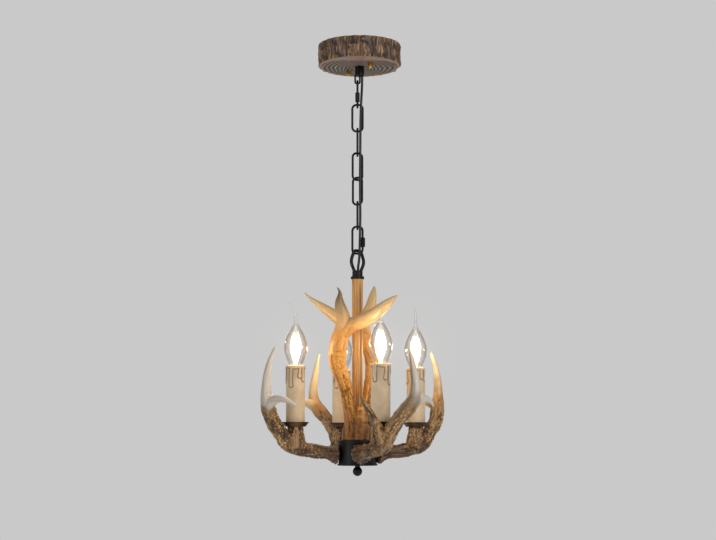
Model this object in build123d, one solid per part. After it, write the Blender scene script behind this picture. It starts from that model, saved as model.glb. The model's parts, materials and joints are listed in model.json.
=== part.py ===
from build123d import *
import math
import os

# Antler chandelier. Millimetres, +Z up, the viewer looks along +Y.
# The origin is the centre of the mounting crossbar, on the plane of the ceiling.

# Clearances
seat_gap = 0.1
thread_gap = 0.05
clasp_gap = 0.2
link_gap = 0.25
cable_gap = 0.3
screw_gap = 0.25

# How far a cut runs past the face that it opens, and a length beyond any piece
overcut = 1.0
far_off = 1000.0

# Canopy, a slice of a tree trunk cast in resin
canopy_radius = 64.5
canopy_height = 33.5
canopy_floor = 8.0
canopy_wall = 9.0
canopy_groove_radius = 4.6
canopy_groove_depth = 0.6
canopy_groove_drop = 18.4
canopy_ridges = 26
canopy_ridge_depth = 1.2
canopy_notch_azimuth = 12.0
canopy_notch_depth = 3.0
canopy_notch_spread = 7.0

# Crossbar and its fasteners
crossbar_width = 20.0
crossbar_thickness = 2.0
crossbar_drop = 7.0
crossbar_azimuth = -56.0
crossbar_tab = 7.5
crossbar_slope = 2.0
crossbar_shoulder = 7.0
box_screw_spacing = 88.9
box_screw_hole_radius = 2.5
canopy_screw_reach = 30.0
canopy_screw_radius = 2.0
canopy_screw_drop = 3.0
cap_nut_radius = 3.9
cap_nut_hex_height = 4.05
cap_nut_collar_height = 1.8
cap_nut_dome_radius = 3.1
cap_nut_end_gap = 0.45
block_round = 1.5
terminal_size = (16.0, 20.0, 10.0)
terminal_inset = 3.0
terminal_screw_spacing = (7.0, 11.0)
terminal_screw_radius = 1.8
terminal_screw_depth = 3.0
ground_screw_reach = 18.0
ground_screw_radius = 1.45
ground_screw_length = 5.0
ground_head_radius = 3.0
ground_head_height = 2.0

# Hanger: a boss with an eye on one side and a cable outlet on the other
boss_radius = 7.2
boss_height = 15.0
boss_round = 1.2
boss_stud_radius = 3.0
boss_stud_drop = 0.8
hanger_nut_height = 4.8
hanger_nut_radius = 5.5
eye_offset = 3.2
eye_wire = 2.8
eye_inner_width = 4.4
eye_corner = 2.6
eye_drop = 13.0
eye_sink = 2.0

# Chain
wire = 3.4
link_width = 19.5
link_length = 45.4
link_corner = 6.5
quick_link_length = 44.5
lower_quick_link_length = 45.4
link_azimuths = (0.0, 90.0, 22.0, -28.0, 90.0)
lower_quick_azimuth = -12.0
quick_gap = 4.0
sleeve_nut_radius = 4.0
sleeve_nut_length = 15.0
sleeve_nut_bevel = 1.2
upper_nut_offset = -6.7
lower_nut_offset = -3.6

# Ring on top of the stem
ring_azimuth = 38.0
ring_rod = 5.0
ring_width = 30.0
ring_height = 33.4
ring_foot_share = 0.45
ring_crown_share = 0.52
ring_belly_bulge = 0.8
ring_belly_rise = 13.2
ring_belly_round = 15.0
ring_crown_round = 5.6
ring_sink = 2.0
neck_radius = 8.0
neck_height = 9.0
neck_bevel = 1.0
neck_bore_gap = 0.7
neck_bore_rise = 4.0
flange_radius = 10.3
flange_height = 4.3
flange_round = 1.0

# Stem, lamp pipe and hub
stem_radius = 8.35
stem_wall = 1.2
stem_length = 246.0
pipe_radius = 4.9
pipe_bore = 3.2
pipe_grip = 6.0
pipe_tail = 13.0
hub_radius = 30.5
hub_height = 38.0
hub_wall = 1.5
hub_cap_skirt = 4.0
hub_lip = 2.5
hub_top_round = 1.0
hub_floor_round = 0.8
hub_nut_radius = 9.0
hub_nut_height = 4.0
splice_size = (18.0, 14.0, 9.0)
finial_nut_radius = 6.3
finial_ball_radius = 7.2
finial_ball_sink = 1.0
finial_neck_radius = 4.0
finial_neck_height = 2.5
finial_stud_radius = 3.0

# Candle on each arm. Reaches are measured outwards from the hub wall,
# heights from the middle of the hub.
arm_azimuths = {"front": -80.0, "right": 13.5, "back": 95.0, "left": 189.5}
candle_reach = 66.8
candle_side = 17.3
stub_top = 39.5
stub_radius = 10.8
stub_foot_radius = 18.0
stub_waist_radius = 13.6
stub_foot = 7.0
bobeche_radius = 20.4
bobeche_height = 7.0
bobeche_wall = 1.2
bobeche_rim = 0.5
bobeche_foot_radius = 15.6
sleeve_radius = 14.4
sleeve_wall = 2.0
sleeve_length = 90.0
sleeve_round = 0.8
drip_count = 7
drip_radius = 2.4
drip_stand = 0.7
drip_start = 2.5
drip_length = 13.5
drip_length_change = 7.0
drip_turn = 11.0
holder_radius = 10.5
holder_post_radius = 4.9
holder_post_depth = 8.0
holder_post_wall = 1.5
holder_inset = 4.0
holder_depth = 26.0
holder_floor = 3.0

# Bulb
bulb_radius = 17.5
bulb_belly = 27.0
bulb_lower_radius = 13.3
bulb_lower = 9.7
bulb_upper_radius = 10.85
bulb_upper = 50.0
bulb_shoulder = 64.0
bulb_tail = 31.0
bulb_tail_radius = 3.0
bulb_neck_radius = 7.2
bulb_neck_drop = 8.0
bulb_neck_length = 4.5
bulb_wall = 0.8
bulb_crown_wall = 2.4
bulb_crown_bore = 0.5
tail_leans = {"front": 1.5, "right": -1.5, "back": 2.5, "left": 6.0}
base_radius = 7.0
base_length = 19.0
base_ridges = 5
base_ridge_radius = 1.1
base_ridge_stand = 0.5
base_collar = 5.0
base_skirt = 2.0
base_cone_radius = 5.95
base_tip_radius = 2.1
base_tip_length = 2.5
filament_radius = 0.9
filament_circle = 4.2
filament_length = 30.0
filament_count = 4
filament_stem_radius = 0.5
filament_disc_radius = 5.5
filament_disc_height = 1.0
mount_radius = 2.6
mount_length = 20.0
mount_foot_radius = 3.8
mount_foot_height = 5.0

# How a bulb's tail runs: shares of its height, its lean and its radius
tail_course = [
    (-0.05, 0.0, 1.0),
    (0.35, 0.0, 0.72),
    (0.70, 0.35, 0.50),
    (1.0, 1.0, 0.22),
]

# Supply cable
cable_radius = 1.9
cable_outlet_wall = 0.8
cable_bend_share = 0.45
cable_lead_out = 1.0
cable_lead_in = 1.5

# Threaded nipples that carry the arms
nipple_radius = 4.9
nipple_wall = 1.2
nipple_inside = 7.0
nipple_depth = 12.0
nipple_end_gap = 0.5
arm_nut_radius = 8.0
arm_nut_height = 3.0
arm_root_gap = 0.2

# Centre lines of the antlers. Arm points: reach from the hub wall, sideways,
# height from the middle of the hub, radius.
arm_beam = [
    (1.0, 0.0, -1.5, 15.2),
    (5.0, 0.4, -1.2, 14.2),
    (11.0, 1.0, -0.2, 10.8),
    (30.0, 3.6, 2.0, 9.8),
    (50.0, 10.0, 4.6, 10.2),
    (68.0, 16.5, 9.5, 11.0),
    (86.0, 23.5, 24.0, 11.0),
    (97.5, 30.0, 39.0, 10.6),
    (107.5, 42.0, 57.0, 10.4),
    (113.5, 55.0, 75.0, 9.6),
    (115.2, 59.0, 90.0, 7.6),
    (114.6, 58.6, 107.0, 6.2),
    (112.0, 56.0, 126.0, 4.6),
    (107.5, 53.6, 142.0, 3.0),
    (101.5, 50.0, 157.5, 1.0),
]
arm_inner_tine = [
    (112.0, 54.0, 70.0, 8.0),
    (104.0, 68.0, 78.0, 6.6),
    (93.0, 80.6, 79.0, 4.6),
    (83.0, 89.0, 74.5, 3.0),
    (74.5, 94.6, 68.5, 1.0),
]
arm_brow_tine = [
    (84.0, 16.0, 24.0, 8.5),
    (92.5, 3.5, 46.0, 6.4),
    (95.5, -7.0, 64.0, 4.6),
    (95.0, -18.0, 82.0, 1.0),
]

# Middle antlers. Foot points: aside, height above the hub, radius.
# Others: right, depth, height above the hub, radius.
middle_foot = [
    (1.6, 0.0, 14.0),
    (4.0, 25.0, 11.9),
    (5.6, 50.0, 7.0),
]
front_trunk = [
    (-9.0, -12.5, 0.0, 11.0),
    (-10.5, -13.5, 22.0, 9.6),
    (-12.5, -14.0, 45.0, 8.4),
    (-15.0, -14.8, 62.0, 8.4),
    (-20.0, -16.5, 88.0, 9.6),
    (-28.5, -19.0, 110.0, 11.0),
    (-30.3, -21.5, 131.0, 12.6),
    (-27.0, -24.5, 152.0, 12.2),
    (-22.0, -27.5, 172.0, 10.8),
    (-23.5, -29.5, 192.0, 9.2),
    (-27.5, -32.0, 212.0, 5.2),
    (-30.5, -34.0, 230.0, 1.0),
]
front_side_tine = [
    (-24.0, -26.0, 157.0, 10.5),
    (-8.0, -30.0, 173.0, 10.6),
    (10.2, -35.0, 180.5, 10.2),
    (30.1, -43.0, 192.0, 9.0),
    (48.0, -51.0, 206.5, 5.4),
    (59.7, -56.0, 215.5, 1.0),
]
rear_trunk = [
    (9.0, 12.5, 0.0, 11.0),
    (11.0, 13.5, 28.0, 9.6),
    (13.5, 15.0, 54.0, 8.8),
    (20.0, 18.0, 84.0, 9.6),
    (23.2, 21.0, 115.0, 10.6),
    (16.0, 24.0, 146.0, 11.0),
    (8.0, 27.0, 170.0, 10.6),
    (13.0, 30.0, 188.0, 9.4),
    (19.5, 33.0, 203.0, 8.4),
    (23.0, 35.4, 218.0, 6.4),
    (25.2, 36.5, 230.0, 4.0),
    (26.1, 37.0, 239.0, 1.0),
]
rear_side_tine = [
    (13.0, 25.0, 155.0, 10.0),
    (-4.0, 27.0, 174.0, 10.0),
    (-19.3, 27.0, 182.0, 9.6),
    (-35.5, 26.5, 192.0, 8.4),
    (-53.0, 26.0, 204.5, 6.0),
    (-81.9, 26.0, 228.0, 1.0),
]
foot_offset = 8.0
clasp_split = 0.3
clasp_height = 26.0
clasp_screw_radius = 1.5
clasp_screw_reach = 12.0
clasp_screw_spread = 12.5
clasp_head_radius = 2.7
clasp_head_depth = 9.0
clasp_head_height = 2.5

# Route of the supply cable beside the chain: right and depth from the chain's
# axis, and how far it has come from the boss, 0, to the neck, 1.
cable_route = [
    (7.0, -0.6, 0.062),
    (6.2, -3.6, 0.110),
    (5.4, -4.5, 0.160),
    (4.7, -4.6, 0.230),
    (4.5, -4.5, 0.295),
    (4.4, -3.8, 0.350),
    (4.3, -3.8, 0.410),
    (4.1, -4.4, 0.470),
    (4.0, -6.9, 0.527),
    (4.0, -7.0, 0.600),
    (4.2, -7.0, 0.670),
    (4.4, -5.4, 0.728),
    (4.2, -5.4, 0.790),
    (3.3, -6.6, 0.850),
    (3.2, -6.2, 0.910),
    (2.4, -3.6, 0.955),
]

# ---- Places worked out from the sizes above ----
canopy_bottom = -canopy_height
boss_bottom = canopy_bottom - boss_height
eye_bar_z = boss_bottom - eye_drop + eye_wire / 2
crossbar_bottom = -crossbar_drop - crossbar_thickness
cable_outlet_x = boss_radius - cable_radius - cable_gap - cable_outlet_wall


def hung_from(bar_z, bar_radius, rod_radius):
    """Height of the upper crown of a link that hangs on the bar at bar_z."""
    return bar_z + bar_radius + rod_radius + link_gap


upper_quick_top = hung_from(eye_bar_z, eye_wire / 2, wire / 2)
upper_quick_bar = upper_quick_top - (quick_link_length - wire)
link_tops = []
bar_above = upper_quick_bar
for azimuth in link_azimuths:
    link_tops.append(hung_from(bar_above, wire / 2, wire / 2))
    bar_above = link_tops[-1] - (link_length - wire)
lower_quick_top = hung_from(bar_above, wire / 2, wire / 2)
lower_quick_bar = lower_quick_top - (lower_quick_link_length - wire)
ring_top = hung_from(lower_quick_bar, wire / 2, ring_rod / 2)
neck_top = ring_top + ring_rod / 2 - ring_height
neck_bottom = neck_top - neck_height
stem_top = neck_bottom - flange_height
hub_top = stem_top - stem_length
hub_middle = hub_top - hub_height / 2
hub_bottom = hub_top - hub_height
pipe_top = stem_top + pipe_grip
pipe_bottom = hub_top - hub_wall - pipe_tail
splice_bottom = hub_bottom + hub_wall + hub_nut_height
splice_top = splice_bottom + splice_size[2]
holder_bottom = stub_top - holder_post_depth
sleeve_bottom = stub_top + bobeche_wall + seat_gap
sleeve_top = sleeve_bottom + sleeve_length
chain_axis = Pos(-eye_offset, 0, 0)


def save(name, shape):
    export_step(shape, f"parts/{name}.step")


def group(*shapes):
    return Compound(children=list(shapes))


def rod(radius, low, high):
    """Round bar along Z from height low to height high."""
    return Pos(0, 0, (low + high) / 2) * Cylinder(radius, high - low)


def through_rod(radius):
    """Round bar along Z that runs clear through any piece."""
    return rod(radius, -far_off, far_off)


def hexagon(radius, low, high):
    """Hexagonal bar along Z, radius measured to its corners."""
    return extrude(Pos(0, 0, low) * RegularPolygon(radius, 6), high - low)


def tapered_limb(points, reference):
    """Smooth limb through round sections, each square to the centre line."""
    centres = [Vector(*point[:3]) for point in points]
    sections = []
    for place, centre in enumerate(centres):
        before = centres[max(place - 1, 0)]
        after = centres[min(place + 1, len(centres) - 1)]
        along = (after - before).normalized()
        across = (Vector(*reference) - along * Vector(*reference).dot(along)).normalized()
        sections.append(Plane(origin=centre, x_dir=across, z_dir=along) * Circle(points[place][3]))
    return loft(sections)


# ---- Canopy and what it covers ----
def canopy_shell():
    """Tree slice with furrowed bark sides, hollow above its floor."""
    outline = []
    for step in range(canopy_ridges * 2):
        angle = math.radians(step * 180 / canopy_ridges)
        wander = math.sin(3 * angle) + 0.6 * math.sin(7 * angle + 1.3)
        furrow = canopy_ridge_depth * (step % 2) * (1 + 0.4 * wander)
        off_notch = math.degrees(angle) - canopy_notch_azimuth
        notch = canopy_notch_depth * math.exp(-(off_notch / canopy_notch_spread) ** 2)
        reach = canopy_radius - furrow - notch
        outline.append((reach * math.cos(angle), reach * math.sin(angle)))
    slice_face = make_face(Polyline(*outline, close=True))
    body = extrude(slice_face, -canopy_height)
    groove_reach = canopy_radius + canopy_groove_radius - canopy_groove_depth
    body -= Pos(0, 0, -canopy_groove_drop) * Torus(groove_reach, canopy_groove_radius)
    body -= rod(canopy_radius - canopy_wall, canopy_bottom + canopy_floor, overcut)
    for place in canopy_screw_places():
        body -= place * through_rod(canopy_screw_radius + screw_gap)
    body -= chain_axis * through_rod(boss_stud_radius + screw_gap)
    body -= Pos(cable_outlet_x, 0, 0) * through_rod(cable_radius + cable_gap)
    return body


def canopy_screw_places():
    turn = Rot(0, 0, crossbar_azimuth)
    return [turn * Pos(side * canopy_screw_reach, 0, 0) for side in (-1, 1)]


def crossbar():
    """Hat-shaped steel strap: two tabs on the ceiling, a lowered middle."""
    half = box_screw_spacing / 2 + crossbar_tab
    shoulder = canopy_screw_reach + crossbar_shoulder
    foot = shoulder - crossbar_slope
    low = -crossbar_drop
    outline = [
        (-half, 0),
        (-shoulder, 0),
        (-foot, low),
        (foot, low),
        (shoulder, 0),
        (half, 0),
        (half, -crossbar_thickness),
        (shoulder + crossbar_thickness, -crossbar_thickness),
        (foot + crossbar_thickness, low - crossbar_thickness),
        (-foot - crossbar_thickness, low - crossbar_thickness),
        (-shoulder - crossbar_thickness, -crossbar_thickness),
        (-half, -crossbar_thickness),
    ]
    profile = Plane.XZ * make_face(Polyline(*outline, close=True))
    strap = Pos(0, crossbar_width / 2, 0) * extrude(profile, crossbar_width)
    for side in (-1, 1):
        strap -= Pos(side * box_screw_spacing / 2, 0, 0) * through_rod(box_screw_hole_radius)
    strap -= Pos(-ground_screw_reach, 0, 0) * through_rod(ground_screw_radius + thread_gap)
    strap = Rot(0, 0, crossbar_azimuth) * strap
    strap -= chain_axis * through_rod(boss_stud_radius + screw_gap)
    for place in canopy_screw_places():
        strap -= place * through_rod(canopy_screw_radius + thread_gap)
    return strap


def canopy_screws():
    low = canopy_bottom - cap_nut_hex_height - cap_nut_collar_height + cap_nut_end_gap
    screw = rod(canopy_screw_radius, low, -canopy_screw_drop)
    return group(*(place * screw for place in canopy_screw_places()))


def canopy_cap_nuts():
    """Acorn nuts: hexagon, collar and dome, with a blind bore."""
    hex_bottom = canopy_bottom - cap_nut_hex_height
    collar_bottom = hex_bottom - cap_nut_collar_height
    nut = hexagon(cap_nut_radius, hex_bottom, canopy_bottom)
    nut += rod(cap_nut_dome_radius, collar_bottom, hex_bottom)
    nut += Pos(0, 0, collar_bottom) * Sphere(cap_nut_dome_radius)
    nut -= rod(canopy_screw_radius + thread_gap, collar_bottom, canopy_bottom + overcut)
    return group(*(place * nut for place in canopy_screw_places()))


def hanger_loop():
    """Boss under the canopy, its stud, the cable outlet and the offset eye."""
    boss = rod(boss_radius, boss_bottom, canopy_bottom)
    boss = fillet(boss.edges().group_by(Axis.Z)[0], boss_round)
    boss -= Pos(cable_outlet_x, 0, 0) * through_rod(cable_radius + cable_gap)
    half = (eye_inner_width + eye_wire) / 2
    top = boss_bottom + eye_sink
    route = FilletPolyline(
        (-half, 0, top),
        (-half, 0, eye_bar_z),
        (half, 0, eye_bar_z),
        (half, 0, top),
        radius=eye_corner,
    )
    eye = sweep(Plane(origin=route @ 0, z_dir=route % 0) * Circle(eye_wire / 2), path=route)
    stud = rod(boss_stud_radius, canopy_bottom - overcut, -boss_stud_drop)
    return boss + chain_axis * eye + chain_axis * stud


def hanger_nut():
    nut = hexagon(hanger_nut_radius, -crossbar_drop, -crossbar_drop + hanger_nut_height)
    return chain_axis * (nut - through_rod(boss_stud_radius + thread_gap))


def terminal_block():
    """Connector under the crossbar that takes the end of the cable."""
    width, depth, height = terminal_size
    block = Pos(0, 0, crossbar_bottom - height / 2) * Box(width, depth, height)
    block = fillet(block.edges().filter_by(Axis.Z), block_round)
    for spot in GridLocations(*terminal_screw_spacing, 2, 2):
        well = Cylinder(terminal_screw_radius, terminal_screw_depth * 2)
        block -= Pos(0, 0, crossbar_bottom - height) * spot * well
    return Pos(cable_outlet_x - terminal_inset + width / 2, 0, 0) * block


def ground_screw():
    screw = rod(ground_screw_radius, crossbar_bottom - ground_screw_length, -crossbar_drop)
    screw += rod(ground_head_radius, -crossbar_drop, -crossbar_drop + ground_head_height)
    return Rot(0, 0, crossbar_azimuth) * Pos(-ground_screw_reach, 0, 0) * screw


# ---- Chain ----
def link(length):
    """Closed link in the XZ plane, its upper crown on Z = 0."""
    outline = RectangleRounded(link_width - wire, length - wire, link_corner)
    path = (Plane.XZ * Pos(0, -(length - wire) / 2) * outline).face().outer_wire()
    start = Plane(origin=path @ 0, z_dir=path % 0)
    return sweep(start * Circle(wire / 2), path=path)


def quick_link(length, nut_offset, side):
    """Link with a gap in one leg, which the sleeve nut closes."""
    body = link(length)
    leg_x = side * (link_width - wire) / 2
    gap_z = -(length - wire) / 2 + nut_offset
    return body - Pos(leg_x, 0, gap_z) * Box(wire * 2, wire * 2, quick_gap)


def sleeve_nut(length, nut_offset, side):
    leg_x = side * (link_width - wire) / 2
    middle = -(length - wire) / 2 + nut_offset
    half = sleeve_nut_length / 2
    blank = rod(sleeve_nut_radius, middle - half, middle + half)
    blank = chamfer(blank.edges().filter_by(GeomType.CIRCLE), sleeve_nut_bevel)
    nut = hexagon(sleeve_nut_radius, middle - half, middle + half) & blank
    return Pos(leg_x, 0, 0) * (nut - through_rod(wire / 2 + seat_gap))


# ---- Ring, stem, pipe and hub ----
def stem_loop():
    """Pointed oval ring on a neck and flange, bored for pipe and cable."""
    half = (ring_width - ring_rod) / 2
    foot = half * ring_foot_share
    belly = half + ring_belly_bulge
    crown = half * ring_crown_share
    route = FilletPolyline(
        (-foot, 0, neck_top - ring_sink),
        (-belly, 0, neck_top + ring_belly_rise),
        (-crown, 0, ring_top),
        (crown, 0, ring_top),
        (belly, 0, neck_top + ring_belly_rise),
        (foot, 0, neck_top - ring_sink),
        radius=[ring_belly_round, ring_crown_round, ring_crown_round, ring_belly_round],
    )
    ring = sweep(Plane(origin=route @ 0, z_dir=route % 0) * Circle(ring_rod / 2), path=route)
    neck = rod(neck_radius, neck_bottom, neck_top)
    neck = chamfer(neck.edges().group_by(Axis.Z)[-1], neck_bevel)
    flange = rod(flange_radius, stem_top, neck_bottom)
    flange = fillet(flange.edges().filter_by(GeomType.CIRCLE), flange_round)
    loop = Rot(0, 0, ring_azimuth) * ring + neck + flange
    loop -= rod(cable_radius + neck_bore_gap, stem_top - overcut, neck_top + neck_bore_rise)
    loop -= rod(pipe_radius + seat_gap, stem_top - overcut, pipe_top)
    return loop


def lamp_pipe():
    return rod(pipe_radius, pipe_bottom, pipe_top) - through_rod(pipe_bore)


def stem_tube():
    return rod(stem_radius, hub_top, stem_top) - through_rod(stem_radius - stem_wall)


def hub_cap():
    """Lid of the hub, with a skirt that laps over the body."""
    lid = rod(hub_radius, hub_top - hub_cap_skirt, hub_top)
    lid = fillet(lid.edges().group_by(Axis.Z)[-1], hub_top_round)
    lid -= rod(hub_radius - hub_wall, hub_top - hub_cap_skirt - overcut, hub_top - hub_wall)
    return lid - through_rod(pipe_radius + seat_gap)


def hub_body():
    """Round pan with a wall hole for each arm and a hole for the finial."""
    outer = hub_radius - hub_wall - seat_gap
    pan = rod(outer, hub_bottom, hub_top - hub_wall)
    pan += rod(hub_radius, hub_bottom, hub_bottom + hub_lip)
    pan = fillet(pan.edges().group_by(Axis.Z)[0], hub_floor_round)
    pan -= rod(outer - hub_wall, hub_bottom + hub_wall, hub_top)
    pan -= through_rod(finial_stud_radius + screw_gap)
    for azimuth in arm_azimuths.values():
        hole = Plane.YZ * Cylinder(nipple_radius + seat_gap, hub_radius * 2)
        pan -= Pos(0, 0, hub_middle) * Rot(0, 0, azimuth) * Pos(hub_radius, 0, 0) * hole
    return pan


def hub_nut():
    nut = hexagon(hub_nut_radius, hub_top - hub_wall - hub_nut_height, hub_top - hub_wall)
    return nut - through_rod(pipe_radius + thread_gap)


def hub_splice():
    """Connector inside the hub where the cable meets the arm leads."""
    width, depth, height = splice_size
    block = Pos(0, 0, splice_bottom + height / 2) * Box(width, depth, height)
    return fillet(block.edges().filter_by(Axis.Z), block_round)


def finial():
    """Ball with a neck and a stud that clamps the hub floor."""
    neck_low = hub_bottom - finial_neck_height
    ball_middle = neck_low - finial_ball_radius + finial_ball_sink
    knob = rod(finial_neck_radius, neck_low - finial_ball_sink, hub_bottom)
    knob += Pos(0, 0, ball_middle) * Sphere(finial_ball_radius)
    knob += rod(finial_stud_radius, neck_low, splice_bottom)
    return knob


def finial_nut():
    nut = hexagon(finial_nut_radius, hub_bottom + hub_wall, splice_bottom)
    return nut - through_rod(finial_stud_radius + thread_gap)


# ---- Middle antlers ----
def middle_antler(trunk, side_tine, side):
    """One of the two castings that clasp the stem, side -1 in front."""
    def raised(points):
        return [(x, y, hub_top + z, radius) for x, y, z, radius in points]

    casting = tapered_limb(raised(trunk), (0, 1, 0))
    casting += tapered_limb(raised(side_tine), (0, 1, 0))
    foot = [(-side * aside, side * foot_offset, z, radius) for aside, z, radius in middle_foot]
    casting += tapered_limb(raised(foot), (0, 1, 0))
    keep_side = Pos(0, side * (far_off / 2 + clasp_split), hub_top + far_off / 2 + seat_gap)
    casting &= keep_side * Box(far_off, far_off, far_off)
    casting -= through_rod(stem_radius + clasp_gap)
    for place in clasp_screw_places():
        casting -= place * clasp_screw(screw_gap, far_off)
    return casting


def clasp_screw_places():
    return [Pos(spot * clasp_screw_spread, 0, hub_top + clasp_height) for spot in (-1, 1)]


def clasp_screw(clearance, head_reach):
    """Screw along Y with its head in front; head_reach is how far the head runs."""
    def bar(radius, start, end):
        return Pos(0, (start + end) / 2, 0) * Rot(90, 0, 0) * Cylinder(radius, end - start)

    shaft = bar(clasp_screw_radius + clearance, -clasp_head_depth, clasp_screw_reach + clearance)
    head = bar(clasp_head_radius + clearance, -clasp_head_depth - head_reach, -clasp_head_depth)
    return shaft + head


def clasp_screws():
    return group(*(place * clasp_screw(0, clasp_head_height) for place in clasp_screw_places()))


# ---- Arms ----
def on_arm(name):
    """Frame of one arm: X outwards from the hub axis, Z from the hub middle."""
    return Pos(0, 0, hub_middle) * Rot(0, 0, arm_azimuths[name])


def arm_antler(with_brow):
    """Antler beam with its tines and the stub that carries a candle."""
    def placed(points):
        return [(hub_radius + reach, aside, z, radius) for reach, aside, z, radius in points]

    beam = tapered_limb(placed(arm_beam), (0, 1, 0))
    beam += tapered_limb(placed(arm_inner_tine), (0, 0, 1))
    if with_brow:
        beam += tapered_limb(placed(arm_brow_tine), (0, 1, 0))
    stub = [
        (candle_reach, candle_side, stub_foot, stub_foot_radius),
        (candle_reach, candle_side, (stub_foot + stub_top) * 0.5, stub_waist_radius),
        (candle_reach, candle_side, stub_top, stub_radius),
    ]
    beam += tapered_limb(placed(stub), (0, 1, 0))
    beam -= through_rod(hub_radius + arm_root_gap)
    beam -= Plane.YZ * Cylinder(nipple_radius + seat_gap, (hub_radius + nipple_depth) * 2)
    pan_top = stub_top + bobeche_height + overcut
    beam -= at_candle() * rod(holder_post_radius + seat_gap, holder_bottom, pan_top)
    beam -= at_candle() * rod(bobeche_radius + screw_gap, stub_top, pan_top)
    return beam


def at_candle():
    return Pos(hub_radius + candle_reach, candle_side, 0)


def arm_nipple():
    start = hub_radius - hub_wall * 2 - nipple_inside
    length = hub_radius + nipple_depth - start - nipple_end_gap
    tube = Cylinder(nipple_radius, length) - Cylinder(nipple_radius - nipple_wall, far_off)
    return Pos(start + length / 2, 0, 0) * (Plane.YZ * tube)


def arm_nut():
    face = hub_radius - hub_wall * 2 - seat_gap
    inner = math.sqrt(face ** 2 - arm_nut_radius ** 2)
    nut = extrude(RegularPolygon(arm_nut_radius, 6), arm_nut_height)
    nut -= Cylinder(nipple_radius + thread_gap, far_off)
    return Pos(inner - arm_nut_height, 0, 0) * (Plane.YZ * nut)


def bobeche():
    """Shallow flared drip pan under the candle."""
    bore = holder_post_radius + screw_gap
    outline = [
        (bore, 0),
        (bobeche_foot_radius, 0),
        (bobeche_radius, bobeche_height - bobeche_rim),
        (bobeche_radius - bobeche_rim, bobeche_height),
        (bobeche_radius - bobeche_wall, bobeche_height - bobeche_rim),
        (bobeche_foot_radius - bobeche_rim, bobeche_wall),
        (bore, bobeche_wall),
    ]
    pan = revolve(Plane.XZ * make_face(Polyline(*outline, close=True)), Axis.Z)
    return Pos(0, 0, stub_top) * pan


def candle_sleeve():
    """Ivory sleeve like a wax candle, with raised drips below its rim."""
    sleeve = rod(sleeve_radius, sleeve_bottom, sleeve_top)
    sleeve = fillet(sleeve.edges().group_by(Axis.Z)[-1], sleeve_round)
    reach = sleeve_radius + drip_stand - drip_radius
    for number in range(drip_count):
        angle = 360 / drip_count * number + drip_turn * math.sin(2.1 * number)
        length = drip_length + drip_length_change * math.sin(2.4 * number + 0.8)
        low = sleeve_top - drip_start - length
        drip = rod(drip_radius, low, sleeve_top - drip_start)
        drip += Pos(0, 0, low) * Sphere(drip_radius)
        sleeve += Rot(0, 0, angle) * Pos(reach, 0, 0) * drip
    return sleeve - through_rod(sleeve_radius - sleeve_wall)


def lampholder():
    """Socket on a hollow post that stands in the stub."""
    top = sleeve_top - holder_inset
    bottom = top - holder_depth - holder_floor
    holder = rod(holder_radius, bottom, top)
    holder += rod(holder_post_radius, holder_bottom, bottom)
    holder -= rod(base_radius + cable_gap, top - holder_depth, top + overcut)
    holder -= rod(holder_post_radius - holder_post_wall, holder_bottom - overcut, bottom)
    return holder


# ---- Bulbs ----
def bulb_glass(lean):
    """Flame-shaped glass with a drawn tail that leans to one side."""
    neck_z = sleeve_top - bulb_neck_drop

    def profile(thickness, low, crown_radius, crown_drop):
        shoulder_z = sleeve_top + bulb_shoulder - crown_drop
        side = Spline(
            (bulb_neck_radius - thickness, neck_z + bulb_neck_length),
            (bulb_lower_radius - thickness, sleeve_top + bulb_lower),
            (bulb_radius - thickness, sleeve_top + bulb_belly),
            (bulb_upper_radius - thickness, sleeve_top + bulb_upper),
            (crown_radius, shoulder_z),
        )
        lines = [
            Line((0, low), (bulb_neck_radius - thickness, low)),
            Line((bulb_neck_radius - thickness, low), side @ 0),
            side,
            Line(side @ 1, (0, shoulder_z)),
            Line((0, shoulder_z), (0, low)),
        ]
        return Plane.XZ * make_face(lines)

    outer = revolve(profile(0.0, neck_z, bulb_tail_radius, 0.0), Axis.Z)
    inner = revolve(profile(bulb_wall, neck_z - overcut, bulb_crown_bore, bulb_crown_wall), Axis.Z)
    tail_low = sleeve_top + bulb_shoulder
    tail = [
        (lean * aside, 0.0, tail_low + bulb_tail * rise, bulb_tail_radius * width)
        for rise, aside, width in tail_course
    ]
    return outer + tapered_limb(tail, (0, 1, 0)) - inner


def bulb_base():
    """Screw shell with rounded ridges, ending in the contact tip."""
    top = sleeve_top - bulb_neck_drop
    shell = rod(base_radius, top - base_length, top)
    pitch = (base_length - base_collar - base_skirt) / (base_ridges - 1)
    for number in range(base_ridges):
        groove = Torus(base_radius + base_ridge_stand, base_ridge_radius)
        shell -= Pos(0, 0, top - base_collar - number * pitch) * groove
    tip = Cone(base_tip_radius, base_cone_radius, base_tip_length)
    return shell + Pos(0, 0, top - base_length - base_tip_length / 2) * tip


def bulb_filament():
    """Glass mount with thin glowing rods held round it."""
    foot_z = sleeve_top - bulb_neck_drop
    mount_top = foot_z + mount_length
    crown_z = mount_top + filament_length
    piece = rod(mount_foot_radius, foot_z, foot_z + mount_foot_height)
    piece += rod(mount_radius, foot_z, mount_top)
    piece += rod(filament_stem_radius, mount_top, crown_z)
    for disc_z in (mount_top, crown_z):
        piece += rod(filament_disc_radius, disc_z, disc_z + filament_disc_height)
    for place in PolarLocations(filament_circle, filament_count):
        piece += place * rod(filament_radius, mount_top, crown_z)
    return piece


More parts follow.
